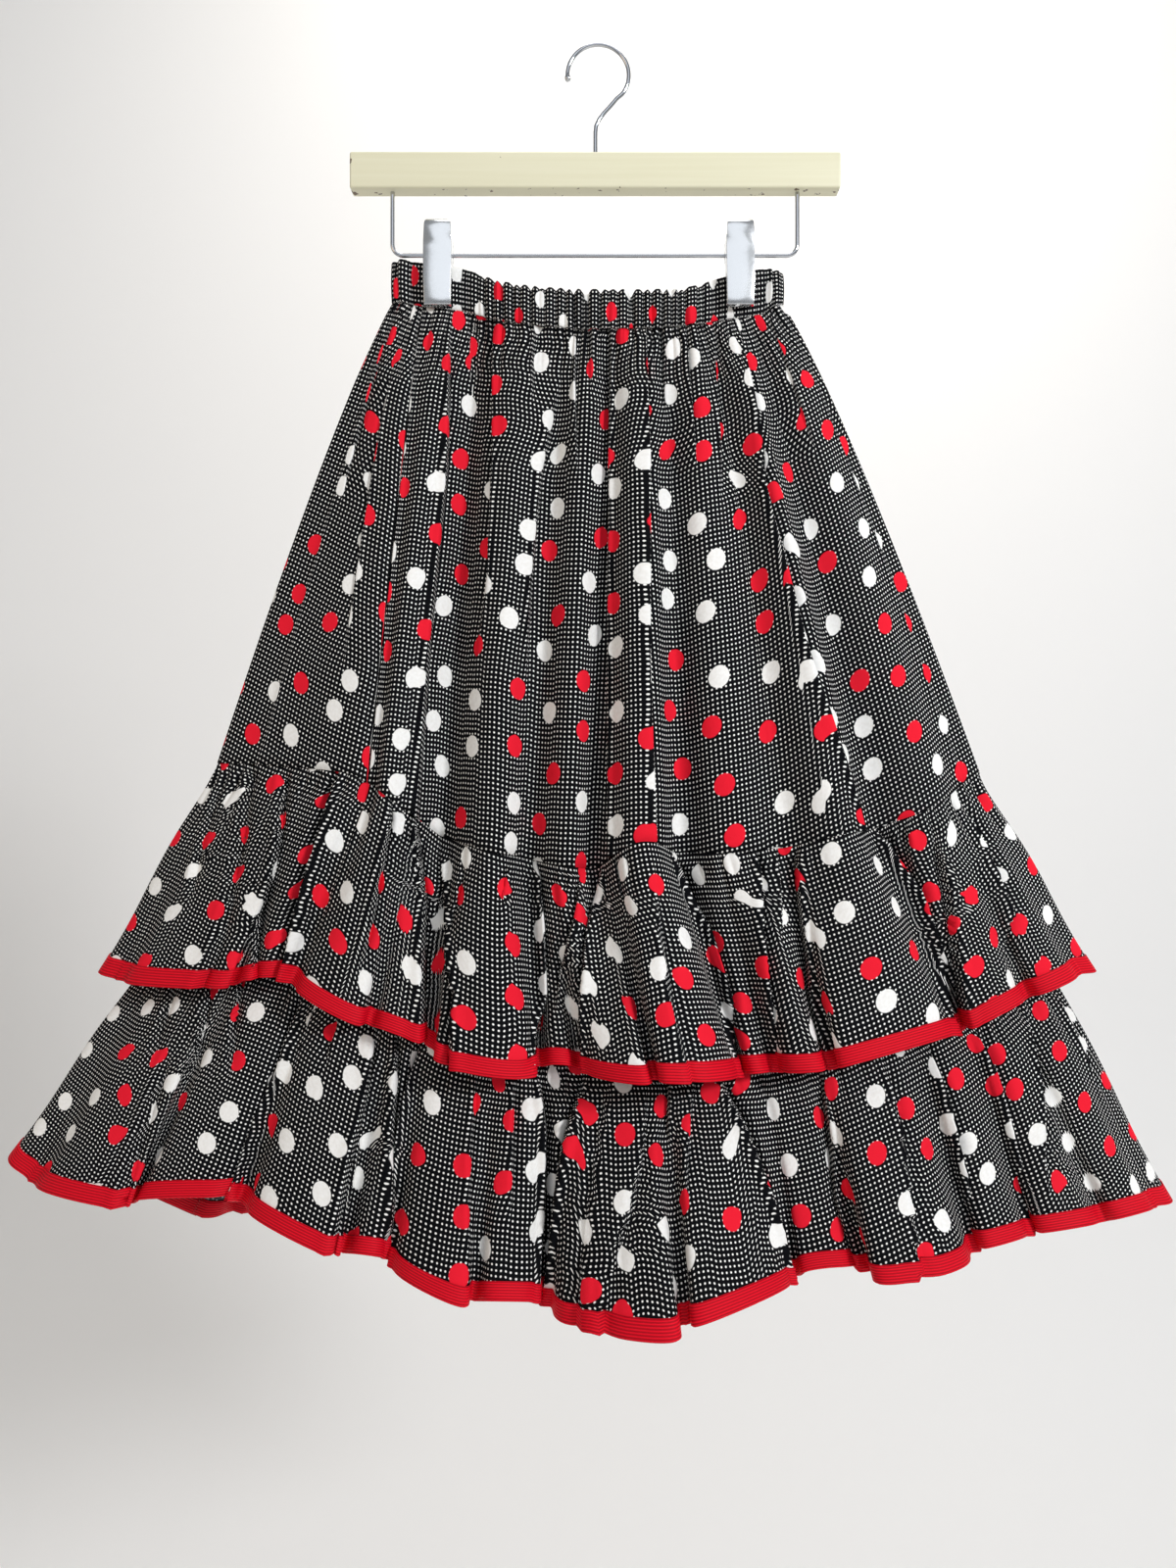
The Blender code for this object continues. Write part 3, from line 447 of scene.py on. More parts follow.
def wear(piece, slot, *nodes):
    """The piece takes the place of its nodes and rides on the skirt."""
    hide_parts(*nodes)
    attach(piece, "root")


def two_panels(name, points, cloth_u, cloth_v, left, right, slot, flat, rests_on, **build):
    """Front and back of a tier, sewn together at the side seams, with the print broken there."""
    columns = points.shape[1]
    for half, first, last in (("front", left, right), ("back", right, left + columns)):
        opened = points.copy()
        for edge, step in ((first, 1), (last, -1)):
            along = opened[:, (edge + step) % columns] - opened[:, edge % columns]
            opened[:, edge % columns] += along * min(1.0, TAKEN_BACK / np.linalg.norm(along, axis=1).mean())
        wrapped = np.hstack([cloth_u[:, :-1], cloth_u[:, :-1] + (cloth_u[:, -1:] - cloth_u[:, :1])])
        print_start = BACK_PRINT if half == "back" else 0.0
        piece = build_panel(f"{name}_{half}_panel", opened, wrapped + print_start, cloth_v, first, last,
                            **build)
        wear(piece, slot, f"{name}_{half}")


waist_back = [(x, -y, top, bottom) for x, y, top, bottom in WAIST_FRONT[-2:0:-1]]
waist_line = closed_curve(WAIST_FRONT + waist_back)
waist_marks = marks_along(waist_line, 2)
WAIST_LENGTH = waist_marks[-1]
waist_puckers = gather_places(WAIST_LENGTH, PUCKER_PITCH, 4)
seam = seam_line(SEAM_STEPS)
seam_marks = marks_along(seam)
SEAM_LENGTH = seam_marks[-1]
SEAM_SIDE = seam_marks[len(BODY_FRONT_FOLDS) * SEAM_STEPS]

body_cloth = np.concatenate([np.linspace(0, SEAM_SIDE, FRONT_COLUMNS, endpoint=False),
                             np.linspace(SEAM_SIDE, SEAM_LENGTH, BACK_COLUMNS, endpoint=False)])
seam_row = read_line(seam[:, :3], seam_marks, body_cloth)
waist_reached = np.interp(body_cloth, seam_marks, np.append(seam[:, 3], seam[0, 3] + WAIST_LENGTH))
waist_here = read_line(waist_line, waist_marks, waist_reached)
body_top = np.stack([waist_here[:, 0], waist_here[:, 1], waist_here[:, 3] - 0.5], axis=1)
fractions = np.linspace(0, 1, BODY_ROWS) ** ROW_SPREAD
f = fractions[:, None, None]
hung = body_top + (seam_row - body_top) * np.concatenate([f ** BODY_FLARE, f, f], axis=2)
side = np.sqrt(np.clip(1 - (seam_row[:, 0] / SEAM_HALF_WIDTH) ** 2, 0, 1))
smooth_y = np.where(seam_row[:, 1] < 5, SEAM_FRONT_Y, SEAM_BACK_Y) * side
hung[:, :, 1] += (seam_row[:, 1] - smooth_y) * (f[:, :, 0] ** WAVES_SHOW - f[:, :, 0])

spots = gather_places(SEAM_LENGTH, BODY_GATHER_PITCH, 11)
gathers, gather_cut = gather_field(body_cloth, SEAM_LENGTH, fractions, spots, **BODY_GATHERS)
body_lines = BODY_LINES + unseen_lines(SEAM_SIDE, SEAM_LENGTH, BACK_FOLD_PITCH, 21)
folds, overhang, fold_cut = fold_field(body_cloth, SEAM_LENGTH, fractions, body_lines)
under_casing = np.clip(1 - fractions / PUCKER_REACH, 0, 1)[:, None]
casing_relief = pucker(waist_reached, 0.0)[None, :] * under_casing ** 1.6
freedom = waist_freedom(body_top)[None, :]
release = freedom + (1 - freedom) * smooth_step(fractions / CLIP_FADE)[:, None]
out = outward(seam_row)
tangent = np.stack([-out[:, 1], out[:, 0], np.zeros(len(out))], axis=1)
body = hung + out * ((gathers + folds + casing_relief) * release + BODY_STAND_OFF)[:, :, None]
body = body + tangent * (overhang * release * smooth_step(fractions / 0.3)[:, None])[:, :, None]

# The print is laid out on the folds alone, pinned at every second ridge, and hidden at the edges.
trough_cut = np.zeros_like(body_cloth)
for mark in seam_marks[:-1:SEAM_STEPS]:
    trough_cut += TROUGH_CUT * np.clip(1 - np.abs(away(body_cloth, mark, SEAM_LENGTH)) / CUT_WIDTH, 0, 1)
ridges = [int(np.searchsorted(body_cloth, mark)) for mark in seam_marks[SEAM_STEPS // 2:-1:2 * SEAM_STEPS]]
casing_cut = 0.8 * casing_gathers(waist_reached, 0.0, PUCKER_CUT_WIDTH)[None, :] * under_casing
folded = hung + out * (folds * release)[:, :, None]
hidden = fold_cut + gather_cut + casing_cut + trough_cut
body_u, body_v = flat_coordinates(folded, body_cloth, SEAM_LENGTH, hidden, ridges)
left_column = int(np.searchsorted(body_cloth, LEFT_SHARE * SEAM_SIDE))
right_column = FRONT_COLUMNS
# The print's rows climb towards the sides, as the cloth there hangs from the casing's raised ends.
reach = np.clip(np.abs(hung[:, :, 0]) / np.abs(hung[:, :, 0]).max(axis=1, keepdims=True), 0, 1)
tilted = (np.arange(len(body_cloth)) < left_column) | (hung[:, :, 0] > 0) | (hung[:, :, 1] > 0)
climb = ROW_TILT * smooth_step((reach - TILT_START) / (1 - TILT_START))
body_v = body_v - climb * np.abs(hung[:, :, 0]) * tilted
two_panels("body", body, body_u, body_v, left_column, right_column, "printed_cotton", (1.37, 0.37),
           ["waistband_casing"])

# The waistband is the top of the cotton turned over into a casing with elastic in it. The elastic
# draws it up into fine uneven gathers, its top edge is scalloped, and two clips press it flat.
CASING_COLUMNS, CASING_HALF, CASING_ROUND, CASING_HEIGHT = 960, 1.0, 0.5, 27.0
SCALLOP, SCALLOP_FROM, CASING_LIFT = 0.45, 0.9, 0.4

waist_distance = np.arange(CASING_COLUMNS) * WAIST_LENGTH / CASING_COLUMNS
casing = read_line(waist_line, waist_marks, waist_distance)
casing_out = outward(np.stack([casing[:, 0] * 2, casing[:, 1] * 4, casing[:, 2]], axis=1))
casing_freedom = waist_freedom(casing)
# Once round the casing's section: its side (1 outside, -1 inside) and height (0 bottom, 1 top)
section = [(0.0, -0.01), *((-1, height) for height in np.linspace(0.0, 0.94, 9)), (-0.75, 0.985), (0.0, 1.0),
           (0.75, 0.985), *((1, height) for height in np.linspace(0.94, 0.0, 13))]
casing_rows = []
for face, height in section:
    depth = pucker(waist_distance, height)
    bulge = CASING_HALF + CASING_ROUND * math.sin(math.pi * min(max(height, 0.0), 1.0))
    z = casing[:, 3] + (casing[:, 2] - casing[:, 3]) * height
    if height > SCALLOP_FROM:
        z = z + SCALLOP * depth * casing_freedom
    stand = face * bulge + (depth + PUCKER_DEPTH * CASING_LIFT) * casing_freedom
    casing_rows.append(np.stack([casing[:, 0], casing[:, 1], z], axis=1) + casing_out * stand[:, None])
casing_rows = np.array(casing_rows + casing_rows[:1])
widths = casing_gathers(waist_distance, 0.5, PUCKER_CUT_WIDTH) + 0.05
widths = WAIST_LENGTH / CASING_COLUMNS + (SEAM_LENGTH - WAIST_LENGTH) * widths / widths.sum()
casing_u = np.tile(np.concatenate([[0.0], np.cumsum(widths)]), (len(casing_rows), 1))
turned = [abs(a[1] - b[1]) * CASING_HEIGHT + 0.3 for a, b in zip(section, section[1:])]
turned = np.cumsum([0.0] + turned + [0.4])
casing_v = np.tile((turned[len(section) - 1] - turned)[:, None], (1, CASING_COLUMNS))
waistband = build_panel("waistband_casing", casing_rows, casing_u, casing_v, 0, CASING_COLUMNS,
                        whole=True, wall=0)
closed = bmesh.new()
closed.from_mesh(waistband.data)
bmesh.ops.remove_doubles(closed, verts=closed.verts, dist=1e-6)
bmesh.ops.recalc_face_normals(closed, faces=closed.faces)
closed.to_mesh(waistband.data)
closed.free()
wear(waistband, "printed_cotton", "waistband")

# The two ruffles: straight strips of the cotton, about half as long again as the seam that they
# are gathered on, so that they stand out in pipes down to the hem. One row for each wave of the
# hem: the hollow, then the crest after it.
UPPER_FRONT_WAVES = [
    (-346, 16, -676, -364, 0, -676),
    (-346, -16, -680, -292, -44, -681),
    (-256, -37, -680, -231, -51, -673),
    (-213, -46, -677, -182, -70, -693),
    (-156, -58, -704, -134, -72, -708),
    (-115, -60, -719, -77, -92, -730),
    (-39, -62, -731, -26, -74, -727),
    (-14, -64, -732, 14, -106, -731),
    (36, -98, -731, 64, -114, -729),
    (97, -63, -736, 105, -78, -732),
    (119, -64, -734, 136, -88, -729),
    (158, -72, -730, 194, -88, -716),
    (256, -38, -712, 276, -50, -699),
    (306, -24, -691, 324, -32, -683),
    (347, -15, -676, 363, 1, -676),
]
LOWER_FRONT_WAVES = [
    (-408, 17, -812, -429, -1, -810),
    (-408, -18, -824, -355, -50, -828),
    (-330, -34, -834, -284, -54, -823),
    (-249, -42, -830, -202, -82, -842),
    (-173, -66, -856, -154, -80, -852),
    (-143, -66, -860, -109, -100, -870),
    (-82, -90, -878, -58, -102, -873),
    (-37, -78, -884, 12, -134, -882),
    (54, -124, -878, 88, -130, -866),
    (131, -78, -868, 150, -86, -858),
    (179, -76, -864, 208, -103, -859),
    (259, -52, -859, 274, -64, -851),
    (305, -34, -855, 324, -48, -847),
    (358, -28, -849, 377, -34, -842),
    (400, -17, -843, 418, 0, -842),
]
UPPER_LINES = [
    (0.06, 0.75, (43, 60, 78, 95), 3.0, "left"),
    (0.00, 1.01, (74, 106, 123, 128), 6.0, "left"),
    (0.00, 1.01, (118, 146, 157, 184), 6.0, "left"),
    (0.00, 1.01, (191, 197, 201, 208), 9.0, "right"),
    (0.00, 0.88, (263, 268, 271, 271), 6.0, "left"),
    (0.00, 1.01, (295, 326, 332, 338), 7.0, "left"),
    (0.04, 0.70, (386, 375, 364, 366), 3.0, "left"),
    (0.04, 1.01, (335, 364, 386, 389), 7.0, "right"),
    (0.00, 1.01, (476, 479, 475, 446), 7.0, "left"),
    (0.00, 0.80, (544, 526, 500, 481), 5.0, "right"),
    (0.00, 1.01, (576, 542, 523, 515), 6.0, "right"),
    (0.00, 0.42, (597, 596, 600, 600), 3.0, "left"),
    (0.00, 1.01, (684, 707, 712, 686), 9.0, "left"),
    (0.05, 1.01, (645, 634, 629, 629), 4.0, "left"),
    (0.00, 1.01, (784, 769, 759, 745), 7.0, "left"),
    (0.00, 1.01, (831, 817, 803, 800), 6.0, "right"),
    (0.00, 1.01, (942, 957, 953, 928), 9.0, "left"),
    (0.05, 1.01, (1001, 987, 972, 959), 7.0, "right"),
    (0.03, 0.90, (1058, 1047, 1042, 994), 5.0, "left"),
    (0.00, 0.45, (806, 801, 792, 779), 3.0, "left"),
    (0.00, 0.32, (976, 971, 966, 962), 3.0, "right"),
    (0.00, 0.30, (438, 434, 429, 425), 3.0, "right"),
]
LOWER_LINES = [
    (0.05, 0.50, (80, 98, 112, 122), 4.0, "left"),
    (0.00, 0.50, (125, 140, 158, 186), 5.0, "left"),
    (0.00, 0.60, (165, 190, 211, 230), 4.0, "left"),
    (0.35, 1.01, (131, 136, 141, 150), 5.0, "left"),
    (0.10, 1.01, (272, 275, 265, 262), 9.0, "right"),
    (0.10, 0.40, (321, 324, 327, 329), 3.0, "right"),
    (0.10, 1.01, (370, 371, 366, 365), 5.0, "left"),
    (0.05, 1.01, (394, 411, 421, 438), 8.0, "left"),
    (0.05, 1.01, (438, 430, 430, 448), 8.0, "right"),
    (0.12, 0.95, (508, 508, 510, 517), 4.0, "left"),
    (0.12, 0.75, (555, 555, 557, 558), 4.0, "left"),
    (0.05, 1.01, (578, 592, 592, 584), 7.0, "left"),
    (0.05, 1.01, (652, 626, 612, 598), 10.0, "right"),
    (0.05, 1.01, (678, 661, 650, 646), 4.0, "right"),
    (0.15, 1.01, (714, 698, 673, 660), 4.0, "left"),
    (0.10, 0.40, (748, 743, 738, 734), 3.0, "right"),
    (0.10, 0.60, (777, 765, 758, 754), 3.0, "left"),
    (0.05, 1.01, (793, 820, 836, 850), 10.0, "left"),
    (0.10, 1.01, (934, 921, 908, 912), 5.0, "right"),
    (0.10, 1.01, (1006, 1000, 987, 974), 4.0, "left"),
    (0.05, 1.01, (1069, 1069, 1066, 1050), 8.0, "left"),
    (0.05, 1.01, (1138, 1142, 1136, 1120), 7.0, "left"),
    (0.10, 0.95, (1219, 1193, 1163, 1149), 4.0, "left"),
    (0.03, 0.55, (1282, 1263, 1257, 1256), 4.0, "left"),
]
BACK_RUN = ("right_x", "left_x", "side_z", "middle_z", "hollow_y", "crest_y")
UPPER_BACK = dict(zip(BACK_RUN, (346, -346, -676, -736, 24.0, 38.0)))
LOWER_BACK = dict(zip(BACK_RUN, (400, -408, -838, -884, 8.0, 36.0)))
BACK_WAVES, BACK_EDGE_Y = 7, 17.0
FRONT_STEPS, BACK_STEPS = 56, 40
FULL_TUCK, FULL_TUCK_WIDTH = 1.1, 72.0
RUFFLE_PUFF, RUFFLE_GATHER_PITCH = 9.0, 14.0
RUFFLE_GATHERS = {"reach": (0.12, 0.5), "depth": 4.6, "half_width": 6.0, "drift": 5.0}
RUFFLE_ROWS, RUFFLE_RELIEF, RUFFLE_TILT, RUFFLE_SQUEEZE, RUFFLE_FOLD_PITCH = 42, 1.5, 0.22, 0.08, 52.0
BRAID_HEIGHT, BRAID_HALF, CLOTH_IN_BRAID, CLOTH_SLACK = 12.0, 0.95, 6.0, 1.02
BRAID_CLOTH, RIB_PITCH = 0.6, 1.85
PRINT_SHIFT_ACROSS, PRINT_SHIFT_DOWN = 91.0, 53.0
HEM_SIDE = len(UPPER_FRONT_WAVES) * FRONT_STEPS
LEFT_SEAM, RIGHT_SEAM = round(3.19 * FRONT_STEPS), HEM_SIDE + 2


def back_waves(run):
    """The plain waves of a ruffle's back, from the right side to the left."""
    waves, half = [], abs(run["right_x"])
    pitch = (run["right_x"] - run["left_x"]) / BACK_WAVES
    climb = run["side_z"] - run["middle_z"]
    for index in range(BACK_WAVES):
        hollow_x = run["right_x"] - pitch * index
        crest_x = hollow_x - pitch * (0.5 + 0.08 * math.sin(index * 2.1))
        hollow_z, crest_z = (run["middle_z"] + climb * min(1, abs(x / half)) ** 2
                             for x in (hollow_x, crest_x))
        waves.append((hollow_x, BACK_EDGE_Y if index == 0 else run["hollow_y"], hollow_z,
                      crest_x, run["crest_y"], crest_z))
    return waves


def hem_line(front, back):
    """Points of a waved hem all round."""
    waves = np.array(front + back, float)
    points = []
    for index, (wave, following) in enumerate(zip(waves, np.roll(waves, -1, 0))):
        steps = FRONT_STEPS if index < len(front) else BACK_STEPS
        tuck = FULL_TUCK * min(1.0, np.linalg.norm((following - wave)[:2]) / FULL_TUCK_WIDTH)
        points.append(wave_between(wave[:3], wave[3:], following[:3], np.arange(steps) / steps, tuck))
    return np.vstack(points)


def share_seam(marks, hem_marks, seam_side, hem_side):
    """Where along the seam each hem column is gathered on, evenly within front and back."""
    return np.interp(hem_marks[:-1], [0, hem_marks[hem_side], hem_marks[-1]], [0, seam_side, marks[-1]])


def ruffle_surface(top, hem, fractions):
    """Rows from the gathered top to the waved hem, before the gathers."""
    f = fractions[:, None, None]
    opening = np.concatenate([f ** 1.12, f ** 1.12, f], axis=2)
    puff = RUFFLE_PUFF * np.sin(math.pi * f) ** 2 * (1 - f)
    return top + (hem - top) * opening + outward(top) * puff


def tier_of_ruffle(name, top, hem, lines, seed):
    """A ruffle and the red braid folded over its hem."""
    marks = marks_along(hem)
    cloth, length = marks[:-1], marks[-1]
    height = float(np.mean(top[:, 2] - hem[:, 2]))
    out = outward(top)
    tangent = np.stack([-out[:, 1], out[:, 0], np.zeros(len(out))], axis=1)
    spots = gather_places(length, RUFFLE_GATHER_PITCH, seed)
    lines = lines + unseen_lines(marks[HEM_SIDE], length, RUFFLE_FOLD_PITCH, seed)

    def rows_at(fractions):
        gathers, gather_cut = gather_field(cloth, length, fractions, spots, **RUFFLE_GATHERS)
        folds, overhang, fold_cut = fold_field(cloth, length, fractions, lines)
        held = (0.2 + 0.8 * smooth_step(fractions / 0.08))[:, None]
        level = np.clip(1 - fractions / 0.5, 0, 1)[:, None]
        plain = ruffle_surface(top, hem, fractions)
        rows = plain + out * ((gathers + folds * RUFFLE_RELIEF + level) * held)[:, :, None]
        folded = plain + out * (folds * RUFFLE_RELIEF * held)[:, :, None]
        return rows + tangent * (overhang * held)[:, :, None], folded, gather_cut + fold_cut

    rows, folded, cut = rows_at(np.linspace(0, 1 - CLOTH_IN_BRAID / height, RUFFLE_ROWS) ** 1.08)
    crests = [FRONT_STEPS // 2 + FRONT_STEPS * i for i in range(len(UPPER_FRONT_WAVES))]
    crests += [HEM_SIDE + BACK_STEPS // 2 + BACK_STEPS * i for i in range(BACK_WAVES)]
    u, v = flat_coordinates(folded, cloth, length, cut + RUFFLE_SQUEEZE, crests)
    v = v - RUFFLE_TILT * folded[:, :, 0] ** 2 / np.abs(folded[:, :, 0]).max()
    two_panels(f"{name}_ruffle", rows, u + seed * PRINT_SHIFT_ACROSS, v + seed * PRINT_SHIFT_DOWN,
               LEFT_SEAM, RIGHT_SEAM, "printed_cotton", (length * MM, height * MM * CLOTH_SLACK),
               ["body_front_panel"])

    face, _, _ = rows_at(np.linspace(1 - BRAID_HEIGHT / height, 1 - 0.5 / height, 6))
    bottom, _, _ = rows_at(np.array([1.0]))
    run = (np.roll(face, -1, 1) - np.roll(face, 1, 1))[:, :, :2]
    normal = np.stack([run[:, :, 1], -run[:, :, 0], np.zeros(run.shape[:2])], axis=-1)
    normal = normal / np.maximum(np.linalg.norm(normal, axis=-1, keepdims=True), 1e-9) * BRAID_HALF
    strip = np.concatenate([face + normal, bottom, (face - normal)[::-1]])
    across = np.cumsum(np.r_[0.0, np.linalg.norm(np.diff(strip, axis=0), axis=2).mean(axis=1)])
    braid_v = -np.repeat(across[:, None], strip.shape[1], axis=1)
    two_panels(f"{name}_braid", strip, np.tile(marks, (len(strip), 1)), braid_v, LEFT_SEAM, RIGHT_SEAM,
               "red_braid", (length * MM, 2 * BRAID_HEIGHT * MM), [f"{name}_ruffle_front_panel"],
               wall=BRAID_CLOTH, outside=braid, inside=braid)


def ribbed_braid(name):
    """Polyester foldover braid: ribs along its length, fine threads across them, and painted shade that
    darkens the red between the ribs.
    """
    material, shader = new_material(name, 0.6, Base_Color=colour("#d3122a"), Specular_IOR_Level=0.15)
    cloth = add_node(material, "UVMap", uv_map="cloth").outputs["UV"]
    split = add_node(material, "SeparateXYZ", {0: cloth})
    wave = add_node(material, "Math", {0: split.outputs["Y"], 1: 2 * math.pi / (RIB_PITCH * MM)},
                    operation="MULTIPLY")
    rib = add_node(material, "Math", {0: wave}, operation="SINE")
    stretched = add_node(material, "VectorMath", {0: cloth, 1: (2200.0, 500.0, 0.0)}, operation="MULTIPLY")
    threads = add_node(material, "TexNoise", {"Vector": stretched, "Scale": 1.0, "Detail": 2.0},
                       noise_dimensions="2D")
    # Painted shade: the red is darker in the grooves between the ribs and lighter on their tops.
    shade = add_node(material, "MapRange", {"Value": rib, "From Min": -1.0, "From Max": 1.0})
    rib_shaded_red = add_node(material, "Mix", {0: shade, 6: colour("#b00018"), 7: colour("#f20a26")},
                    data_type="RGBA")
    material.node_tree.links.new(rib_shaded_red.outputs[2], shader.inputs["Base Color"])
    height = add_node(material, "Math", {0: threads.outputs["Fac"], 1: 0.7, 2: rib},
                      operation="MULTIPLY_ADD")
    bump = add_node(material, "Bump", {"Height": height, "Strength": 0.5, "Distance": 0.0004})
    material.node_tree.links.new(bump.outputs["Normal"], shader.inputs["Normal"])
    return material


braid = ribbed_braid("red_foldover_braid")
upper_hem = hem_line(UPPER_FRONT_WAVES, back_waves(UPPER_BACK))
upper_gathered = share_seam(seam_marks, marks_along(upper_hem), SEAM_SIDE, HEM_SIDE)
upper_top = read_line(seam[:, :3], seam_marks, upper_gathered)
tier_of_ruffle("upper", upper_top, upper_hem, UPPER_LINES, 5)

# The hidden tier behind the upper ruffle, plain cotton from the body's seam down to the seam that
# carries the lower ruffle. That seam: x, y and z round the skirt from its left side.
LOWER_SEAM = [
    (-311, 8, -662), (-326, -1, -662), (-285, -14, -662), (-218, -28, -660), (-150, -42, -684),
    (-90, -51, -710), (0, -54, -716), (110, -52, -716), (190, -46, -702), (255, -30, -690),
    (312, -12, -670), (326, 0, -664), (318, 6, -664), (200, 8, -690), (0, 9, -712), (-200, 9, -690),
]
LOWER_SEAM_RIGHT = 12
TIER_DEPTH, TIER_FULL_DEPTH, TIER_TOP_INSET, TIER_FALL = 8.0, 20.0, 2.6, 0.14
TIER_ROWS, TIER_HEIGHT = 10, 130.0

lower_seam = closed_curve(LOWER_SEAM)
lower_marks = marks_along(lower_seam)
lower_hem = hem_line(LOWER_FRONT_WAVES, back_waves(LOWER_BACK))
lower_side = lower_marks[LOWER_SEAM_RIGHT * CURVE_STEPS]
lower_gathered = share_seam(lower_marks, marks_along(lower_hem), lower_side, HEM_SIDE)
lower_top = read_line(lower_seam, lower_marks, lower_gathered)
inset = TIER_DEPTH * np.minimum(1.0, np.abs(upper_top[:, 1]) / TIER_FULL_DEPTH)[:, None]
tier_top = upper_top - outward(upper_top) * TIER_TOP_INSET
tier_fall = upper_top + (lower_top - upper_top) * TIER_FALL - outward(upper_top) * inset
tier = np.stack([*(tier_top + (tier_fall - tier_top) * s for s in (0.0, 0.5)),
                 *(tier_fall + (lower_top - tier_fall) * s for s in np.linspace(0, 1, TIER_ROWS - 2))])
tier_v = -np.tile(np.linspace(0, TIER_HEIGHT, TIER_ROWS)[:, None], (1, len(lower_top)))
two_panels("under_tier", tier, np.tile(marks_along(lower_top), (TIER_ROWS, 1)), tier_v,
           LEFT_SEAM, RIGHT_SEAM, "printed_cotton", (1.39, 0.13), ["body_front_panel"])

tier_of_ruffle("lower", lower_top, lower_hem, LOWER_LINES, 9)

# The hanger: a flat wooden bar painted cream, a swivel hook of chrome wire in its top edge and a
# rail of the same wire under it, whose ends are set into the bar.
WIRE_RADIUS = 1.6
HOOK_RADIUS = 22.4
BAR_WIDTH, BAR_DEPTH, BAR_HEIGHT = 356.7, 14.5, 26.3
BAR_CENTRE_X, BAR_TOP_Z = -2.2, -80.1
RAIL_LEFT, RAIL_RIGHT, RAIL_Z, RAIL_CORNER = -150.4, 145.7, -152.8, 8.0


def steel(name, hex_code, roughness):
    """Plated steel with a faint brushed unevenness."""
    material, shader = new_material(name, roughness, 1.0, Base_Color=colour(hex_code))
    place = add_node(material, "TexCoord").outputs["Object"]
    noise = add_node(material, "TexNoise", {"Vector": place, "Scale": 420.0, "Detail": 3.0})
    uneven = add_node(material, "MapRange", {"Value": noise.outputs["Fac"], "To Min": roughness * 0.8,
                                             "To Max": roughness * 1.3})
    material.node_tree.links.new(uneven.outputs[0], shader.inputs["Roughness"])
    return material


def wire(name, points, radii=None):
    """A round wire along points in the plane of the hanger."""
    curve = bpy.data.curves.new(name, "CURVE")
    curve.dimensions = "3D"
    curve.bevel_depth = WIRE_RADIUS * MM
    curve.bevel_resolution = 6
    curve.use_fill_caps = True
    spline = curve.splines.new("POLY")
    spline.points.add(len(points) - 1)
    for index, (x, z) in enumerate(points):
        spline.points[index].co = (x * MM, 0.0, z * MM, 1.0)
        spline.points[index].radius = radii[index] if radii else 1.0
    drawn = bpy.data.objects.new(name, curve)
    mesh = bpy.data.meshes.new_from_object(drawn)
    mesh.materials.clear()
    mesh.materials.append(chrome)
    mesh.shade_smooth()
    piece = bpy.data.objects.new(name, mesh)
    bpy.context.scene.collection.objects.link(piece)
    bpy.data.objects.remove(drawn)
    return piece


def arc(centre_x, centre_z, radius, start, end, count):
    """Points on an arc, angles in degrees from +X towards +Z."""
    angles = [math.radians(start + (end - start) * step / (count - 1)) for step in range(count)]
    return [(centre_x + radius * math.cos(a), centre_z + radius * math.sin(a)) for a in angles]


chrome = steel("chrome_plated_wire", "#c9cbcf", 0.12)
hook_z = WIRE_RADIUS - HOOK_RADIUS
tip = [(0.6 - HOOK_RADIUS, hook_z - 4.4), (0.5 - HOOK_RADIUS, hook_z - 4.0),
       (0.4 - HOOK_RADIUS, hook_z - 3.2)]
neck = [(13.6, -38.0), (9.0, -43.4), (4.2, -48.6), (0.6, -53.4), (-1.5, -58.0), (-2.0, -63.0), (-2.0, -71.0),
        (-2.0, BAR_TOP_Z - 1.0)]
hook_points = [*tip, *arc(0.0, hook_z, HOOK_RADIUS, 184, -38, 60), *neck]
hook = wire("swivel_hook", hook_points, [0.5, 1.1, 1.4, 1.4] + [1.0] * (len(hook_points) - 4))
wear(hook, "chrome_wire", "hanger_hook")
rail = wire("clip_rail", [(RAIL_LEFT, BAR_TOP_Z - BAR_HEIGHT + 1.0),
                          *arc(RAIL_LEFT + RAIL_CORNER, RAIL_Z + RAIL_CORNER, RAIL_CORNER, 180, 270, 14),
                          *arc(RAIL_RIGHT - RAIL_CORNER, RAIL_Z + RAIL_CORNER, RAIL_CORNER, 270, 360, 14),
                          (RAIL_RIGHT, BAR_TOP_Z - BAR_HEIGHT + 1.0)])
wear(rail, "chrome_wire", "bail_wire")

# Enamel brushed on wood: streaks along the bar, and bare brown wood where the ends and edges are
# chipped. The wear at the ends and edges: where it starts and is full, and how much it adds.
END_WEAR, EDGE_WEAR, CHIPPED = (170.0, 178.5, 0.14), (11.5, 13.1, 0.105), (0.765, 0.785)
painted, paint = new_material("cream_painted_wood", 0.4)
place = add_node(painted, "TexCoord").outputs["Object"]
to_middle = (-BAR_CENTRE_X * MM, 0.0, (BAR_HEIGHT / 2 - BAR_TOP_Z) * MM)
centred = add_node(painted, "VectorMath", {0: place, 1: to_middle}, operation="ADD")
near_end = add_node(painted, "VectorMath", {0: centred}, operation="ABSOLUTE")
parts = add_node(painted, "SeparateXYZ", {0: near_end})
end_wear, edge_wear = (
    add_node(painted, "MapRange", {"Value": parts.outputs[axis], "From Min": starts * MM,
                                   "From Max": full * MM, "To Max": most})
    for axis, (starts, full, most) in (("X", END_WEAR), ("Z", EDGE_WEAR)))
knocks = add_node(painted, "TexNoise", {"Vector": place, "Scale": 170.0, "Detail": 3.0}).outputs["Fac"]
worn = add_node(painted, "Math", {0: end_wear, 1: edge_wear}, operation="ADD")
worn = add_node(painted, "Math", {0: worn, 1: knocks}, operation="ADD")
chip = add_node(painted, "MapRange", {"Value": worn, "From Min": CHIPPED[0], "From Max": CHIPPED[1]})
